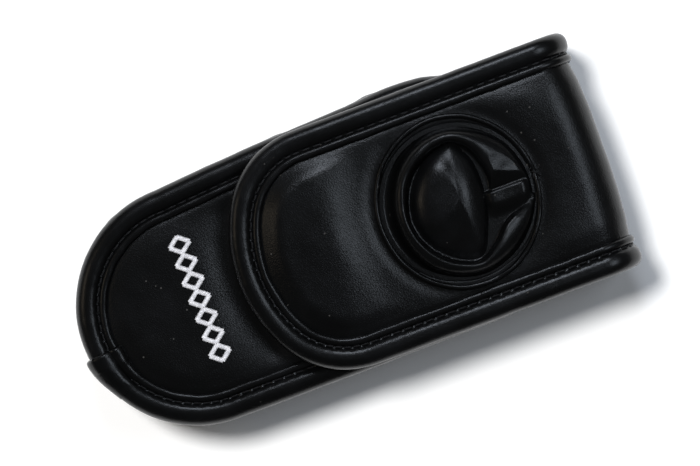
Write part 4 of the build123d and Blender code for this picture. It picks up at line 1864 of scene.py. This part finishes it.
@dataclass
class Closure:
    """Hook patch under the flap and loop patch on the body, which face each other."""

    pouch: Pouch
    shop: Workshop
    loop_size: Point = (38.0, 19.0)
    hook_size: Point = (34.0, 15.0)
    corner: float = 2.5
    hook_pitch: float = 1.35
    thread: Thread = BLACK_THREAD

    def base(self, size: Point, low: float, high: float) -> bmesh.types.BMesh:
        """Thin plate with rounded corners and a soft edge."""
        bm = bmesh.new()
        bmesh.ops.create_grid(bm, x_segments=1, y_segments=1, size=0.5)
        bmesh.ops.scale(bm, vec=(size[0], size[1], 1), verts=bm.verts)
        bmesh.ops.bevel(
            bm,
            geom=bm.verts[:],
            offset=self.corner,
            offset_type="OFFSET",
            affect="VERTICES",
            segments=6,
            profile=0.5,
            material=-1,
        )
        grown = bmesh.ops.extrude_face_region(bm, geom=bm.faces[:])["geom"]
        top = [v for v in grown if isinstance(v, bmesh.types.BMVert)]
        bmesh.ops.translate(bm, vec=(0, 0, high - low), verts=top)
        bmesh.ops.translate(bm, vec=(0, self.pouch.patch_place, low), verts=bm.verts)
        return bm

    def loops(self) -> None:
        """Brushed loop pile on a woven base."""
        p = self.pouch
        bm = self.base(self.loop_size, p.front_skin, p.front_skin + 0.9)
        piece = self.shop.piece("loop_pile_patch", bm, Nylon("loop_pile", 0.35, 0.25), Slot.LOOPS, sharp=40)
        self.shop.ride(piece, Body.POUCH, "loop_patch")
        self.border(Body.POUCH, "loop_patch_stitches", self.loop_size, p.front_skin + 0.93, 1)

    def hooks(self) -> None:
        """Moulded hooks in rows on a woven base."""
        p = self.pouch
        low, high = p.flap_inside - 0.45, p.flap_inside
        bm = self.base(self.hook_size, low, high)
        columns = int((self.hook_size[0] - 4) / self.hook_pitch)
        rows = int((self.hook_size[1] - 4) / self.hook_pitch)
        for row in range(rows + 1):
            for column in range(columns + 1):
                x = (column - columns / 2) * self.hook_pitch
                y = p.patch_place + (row - rows / 2) * self.hook_pitch
                stem = Matrix.Translation((x, y, low - 0.2)) @ Matrix.Diagonal((0.15, 0.25, 0.45, 1))
                bmesh.ops.create_cube(bm, size=1.0, matrix=stem)
                lean = 0.14 if row % 2 else -0.14
                tip = Matrix.Translation((x, y + lean, low - 0.42)) @ Matrix.Diagonal((0.15, 0.5, 0.13, 1))
                bmesh.ops.create_cube(bm, size=1.0, matrix=tip)
        hooks = Nylon("moulded_hooks", 0.6, 0.05)
        piece = self.shop.piece("hook_patch_field", bm, hooks, Slot.HOOKS, sharp=40)
        self.shop.ride(piece, Body.FLAP, "hook_patch")
        self.border(Body.FLAP, "hook_patch_stitches", self.hook_size, low - 0.03, -1)

    def border(self, body: Body, name: str, size: Point, height: float, up: int) -> None:
        """Row of stitches round a patch, just inside its edge."""
        half_x, half_y, radius = size[0] / 2 - 1.0, size[1] / 2 - 1.0, self.corner - 1.0
        line = []
        for corner_x, corner_y, start in ((1, 1, 90), (1, -1, 0), (-1, -1, -90), (-1, 1, -180), (1, 1, -270)):
            for number in range(5):
                angle = math.radians(start - 90 * number / 4)
                x = corner_x * (half_x - radius) + radius * math.cos(angle)
                y = self.pouch.patch_place + corner_y * (half_y - radius) + radius * math.sin(angle)
                line.append((Vector((x, y, height)), Vector((0, 0, up))))
        line = line[:-4]
        if up < 0:
            line.reverse()
        threads = bmesh.new()
        stitch_row(threads, Seam(line, 0.3), 0.0, 0.0, 2.4, 1.9, 0.2)
        piece = self.shop.piece(name, threads, self.thread, Slot.TAPE)
        self.shop.ride(piece, body)

    def build(self) -> None:
        """Makes both patches."""
        self.loops()
        self.hooks()


@dataclass
class BeltLoop:
    """Strap across the back that a belt passes under, sewn down at both ends."""

    pouch: Pouch
    shop: Workshop
    width: float = 38.0
    thickness: float = 2.0
    clear: float = 46.0
    ramp: float = 4.0
    tab: float = 7.0
    bend: float = 2.2
    leather: Leatherette = Leatherette()
    thread: Thread = BLACK_THREAD

    def path(self) -> list[tuple[Vector, Vector]]:
        """Middle line of the strap, with its outward side down."""
        low = self.thickness / 2
        high = self.pouch.back_skin - self.thickness / 2
        half = self.clear / 2
        corners = [
            Vector((0, -half - self.ramp - self.tab, high)),
            Vector((0, -half - self.ramp, high)),
            Vector((0, -half, low)),
            Vector((0, half, low)),
            Vector((0, half + self.ramp, high)),
            Vector((0, half + self.ramp + self.tab, high)),
        ]
        line = [corners[0]]
        for before, corner, after in zip(corners, corners[1:], corners[2:]):
            start = corner + (before - corner).normalized() * self.bend
            end = corner + (after - corner).normalized() * self.bend
            for number in range(9):
                t = number / 8
                line.append((1 - t) ** 2 * start + 2 * t * (1 - t) * corner + t**2 * end)
        line.append(corners[-1])
        spots = []
        for number, point in enumerate(line):
            before, after = line[max(0, number - 1)], line[min(len(line) - 1, number + 1)]
            way = (after - before).normalized()
            spots.append((point, Vector((0, way.z, -way.y))))
        return spots

    def strap(self) -> Seam:
        """Strap with rounded edges and pressed stitch lines."""
        half, thick = self.width / 2, self.thickness / 2
        section = []
        for sign_u, sign_h, start in ((1, 1, 90), (1, -1, 0), (-1, -1, -90), (-1, 1, -180)):
            for number in range(6):
                angle = math.radians(start - 90 * number / 5)
                radius = thick * 0.85
                section.append(
                    (
                        sign_u * (half - radius) + radius * math.cos(angle),
                        sign_h * (thick - radius) + radius * math.sin(angle),
                    )
                )
        dense = []
        for a, b in zip(section, section[1:] + section[:1]):
            steps = max(1, round(math.dist(a, b) / 1.0))
            dense += [(mix(a[0], b[0], n / steps), mix(a[1], b[1], n / steps)) for n in range(steps)]
        seam = Seam(self.path(), 0.9)

        def relief(station: Station, u: float, h: float) -> Point:
            """Pressed line at each row of stitches and slight unevenness."""
            press = 0.22 * bell(abs(u), half - 2.6, 0.7)
            soft = 0.08 * ripple(station.reach, u, 8.0, 2.6)
            side = 0.12 * ripple(station.reach, h, 6.0, 1.1) * (abs(u) > half - 1.5)
            return side, -math.copysign(press, h) - abs(soft) * (h > 0)

        bm = sweep(dense, seam.stations, relief)
        piece = self.shop.piece("belt_strap", bm, self.leather, Slot.LEATHER)
        self.shop.ride(piece, Body.POUCH, "belt_loop")
        return seam

    def stitches(self, seam: Seam) -> None:
        """Rows along the strap's edges, and a box with a cross on each tab."""
        threads = bmesh.new()
        half = self.width / 2 - 2.6
        rise = self.thickness / 2 - 0.14
        for outward in (-half, half):
            stitch_row(threads, seam, outward, rise, 3.2, 2.5, 0.25)
        tab = self.clear / 2 + self.ramp + self.tab
        height = self.pouch.back_skin - self.thickness
        down = Vector((0, 0, -1))
        for sign in (-1, 1):
            near, far = sign * (tab - self.tab + 1.4), sign * (tab - 1.2)
            rows = (
                ((-half, near), (half, near)),
                ((-half, far), (half, far)),
                ((-half, near), (half, far)),
                ((-half, far), (half, near)),
            )
            for (x, y), (next_x, next_y) in rows:
                line = [(Vector((x, y, height)), down), (Vector((next_x, next_y, height)), down)]
                stitch_row(threads, Seam(line, 0.4), 0.0, 0.02, 3.0, 2.4, 0.25)
        piece = self.shop.piece("belt_strap_stitches", threads, self.thread, Slot.TAPE)
        self.shop.ride(piece, Body.POUCH)

    def build(self) -> None:
        """Makes the strap and its stitching."""
        self.stitches(self.strap())


@dataclass
class Motif:
    """White satin-stitched row of plain lozenges across the body's front."""

    pouch: Pouch
    shop: Workshop
    reliefs: Reliefs
    place: float = -43.1
    left: float = -18.8
    right: float = 19.4
    height: float = 7.4
    count: int = 7
    stroke: float = 1.5
    spacing: float = 0.27
    lift: float = 0.3
    half_thread: float = 0.17
    finish: Thread = Thread(
        "white_thread", (0.62, 0.62, 0.66), (0.93, 0.93, 0.95), twist=0.3, rough=0.6, sheen=0.2
    )

    def satin(self, bm: bmesh.types.BMesh, start: Vector, end: Vector, width: float) -> None:
        """Threads laid side by side across a stroke.

        Args:
            bm: mesh that the threads are added to.
            start: start of the stroke's middle line.
            end: end of that line.
            width: width of the stroke.
        """
        way = end - start
        steps = max(2, round(way.length / self.spacing))
        turn = math.atan2(way.y, way.x)
        for number in range(steps + 1):
            spot = start.lerp(end, number / steps)
            uneven = 1 + 0.12 * ripple(spot.x * 3, spot.y * 3, 1.0, 1.9)
            sheet = self.pouch.front_skin + self.reliefs.body(spot.x, spot.y)
            place = Matrix.Translation((spot.x, spot.y, sheet + 0.12))
            add_thread(bm, place, turn, (self.half_thread, width / 2 * uneven, self.lift), segments=6)

    def build(self) -> None:
        """Makes the row of lozenges."""
        bm = bmesh.new()
        wide = (self.right - self.left) / self.count
        half_x = wide / 2 - 0.35
        half_y = self.height / 2 - self.stroke / 2
        for number in range(self.count):
            x = self.left + wide * (number + 0.5)
            corners = [
                Vector((x - half_x, self.place, 0)),
                Vector((x, self.place + half_y, 0)),
                Vector((x + half_x, self.place, 0)),
                Vector((x, self.place - half_y, 0)),
            ]
            for a, b in zip(corners, corners[1:] + corners[:1]):
                self.satin(bm, a, b, self.stroke)
        piece = self.shop.piece("satin_motif", bm, self.finish, Slot.TAPE)
        self.shop.ride(piece, Body.POUCH)


@dataclass(frozen=True)
class Lamp:
    """Soft square lamp that looks at the pouch from a direction."""

    name: str
    azimuth: float
    elevation: float
    distance: float
    size: float
    power: float
    colour: Colour = (1.0, 1.0, 1.0)
    glossy: bool = True

    def light(self, target: Vector) -> None:
        """Adds the lamp, aimed at a point in metres."""
        data = bpy.data.lights.new(self.name, "AREA")
        data.shape = "DISK"
        data.size = self.size
        data.energy = self.power
        data.color = self.colour
        lamp = bpy.data.objects.new(self.name, data)
        a, e = math.radians(self.azimuth), math.radians(self.elevation)
        way = Vector((math.cos(a) * math.cos(e), math.sin(a) * math.cos(e), math.sin(e)))
        lamp.location = target + way * self.distance
        lamp.visible_glossy = self.glossy
        lamp.rotation_euler = way.to_track_quat("Z", "Y").to_euler()
        bpy.context.scene.collection.objects.link(lamp)


@dataclass
class Studio:
    """Camera straight above, pale floor, soft lamps and a plain white surround."""

    pouch: Pouch
    view_centre: Point = (-2.26, 3.49)
    view_width: float = 198.1
    view_distance: float = 1000.0
    sensor: float = 36.0
    turn: float = math.radians(69.5)
    floor_size: float = 4.0
    world_light: float = 0.05
    lamps: tuple[Lamp, ...] = (
        Lamp("key", 214, 71, 3.0, 0.6, 88.0, (1.0, 0.995, 0.985), glossy=False),
        Lamp("left_sheen", 166, 52, 0.9, 0.27, 2.0, (0.82, 0.89, 1.0)),
        Lamp("fold_sheen", 92, 61, 0.9, 0.34, 1.1, (0.8, 0.89, 1.0)),
        Lamp("warm_sheen", 245, 40, 0.9, 0.3, 0.3, (1.0, 0.85, 0.65)),
    )

    def camera(self) -> None:
        """Camera that looks straight down, turned as the pouch lies in the picture."""
        data = bpy.data.cameras.new("camera")
        data.sensor_width = self.sensor
        data.lens = self.sensor * self.view_distance / self.view_width
        data.clip_end = 10
        camera = bpy.data.objects.new("camera", data)
        height = self.pouch.flap_skin + self.view_distance
        camera.location = Vector((*self.view_centre, height)) * MM
        camera.rotation_euler = (0, 0, self.turn)
        bpy.context.scene.collection.objects.link(camera)
        bpy.context.scene.camera = camera

    def floor(self) -> None:
        """Pale floor that shows white to the camera and keeps the pouch's shadow."""
        bm = bmesh.new()
        bmesh.ops.create_grid(bm, x_segments=1, y_segments=1, size=self.floor_size / 2)
        mesh = bpy.data.meshes.new("floor")
        bm.to_mesh(mesh)
        bm.free()
        floor = bpy.data.objects.new("floor", mesh)
        bpy.context.scene.collection.objects.link(floor)
        g = Graph("pale_floor")
        plain = g.node("ShaderNodeBsdfDiffuse", {}, {"Color": (0.97, 0.97, 0.97)}, "BSDF")
        rays = g.node("ShaderNodeLightPath", output="Is Camera Ray")
        white = {"Color": (1.0, 1.0, 1.0), "Strength": rays * 0.05}
        glow = g.node("ShaderNodeEmission", {}, white, "Emission")
        both = g.node("ShaderNodeAddShader", {}, {0: plain, 1: glow}, "Shader")
        g.node_output(both)
        mesh.materials.append(g.material)

    def world(self) -> None:
        """White surround for the camera and through clear pieces, with dimmer light on the pouch."""
        world = bpy.data.worlds.new("surround")
        bpy.context.scene.world = world
        world.use_nodes = True
        tree = world.node_tree
        tree.nodes.clear()
        path = tree.nodes.new("ShaderNodeLightPath")
        seen = tree.nodes.new("ShaderNodeMath")
        seen.operation = "MAXIMUM"
        tree.links.new(path.outputs["Is Camera Ray"], seen.inputs[0])
        tree.links.new(path.outputs["Is Transmission Ray"], seen.inputs[1])
        strength = tree.nodes.new("ShaderNodeMapRange")
        strength.inputs["To Min"].default_value = self.world_light
        tree.links.new(seen.outputs[0], strength.inputs["Value"])
        background = tree.nodes.new("ShaderNodeBackground")
        tree.links.new(strength.outputs["Result"], background.inputs["Strength"])
        out = tree.nodes.new("ShaderNodeOutputWorld")
        tree.links.new(background.outputs["Background"], out.inputs["Surface"])

    def build(self) -> None:
        """Sets the whole studio up."""
        bpy.context.scene.view_settings.view_transform = "Standard"
        self.camera()
        self.floor()
        self.world()
        target = Vector((0, 0, self.pouch.flap_skin * MM))
        for lamp in self.lamps:
            lamp.light(target)


def main() -> None:
    """Builds every piece of the pouch and the studio round the frame."""
    logging.basicConfig(level=logging.INFO, format="%(name)s: %(message)s")
    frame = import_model()
    pouch = Pouch.from_frame()
    shop = Workshop()
    reliefs = Reliefs(pouch)
    Studio(pouch).build()
    Shell(pouch, shop, Outlines(pouch), reliefs).build()
    LensCup(pouch, shop).build()
    Closure(pouch, shop).build()
    BeltLoop(pouch, shop).build()
    Motif(pouch, shop, reliefs).build()
    board = frame["nodes"]["back_stiffener_board"]
    board.data.materials.clear()
    board.data.materials.append(shop.dress(Board()))
    LOG.info("made %d pieces", shop.count)


if __name__ == "__main__":
    main()
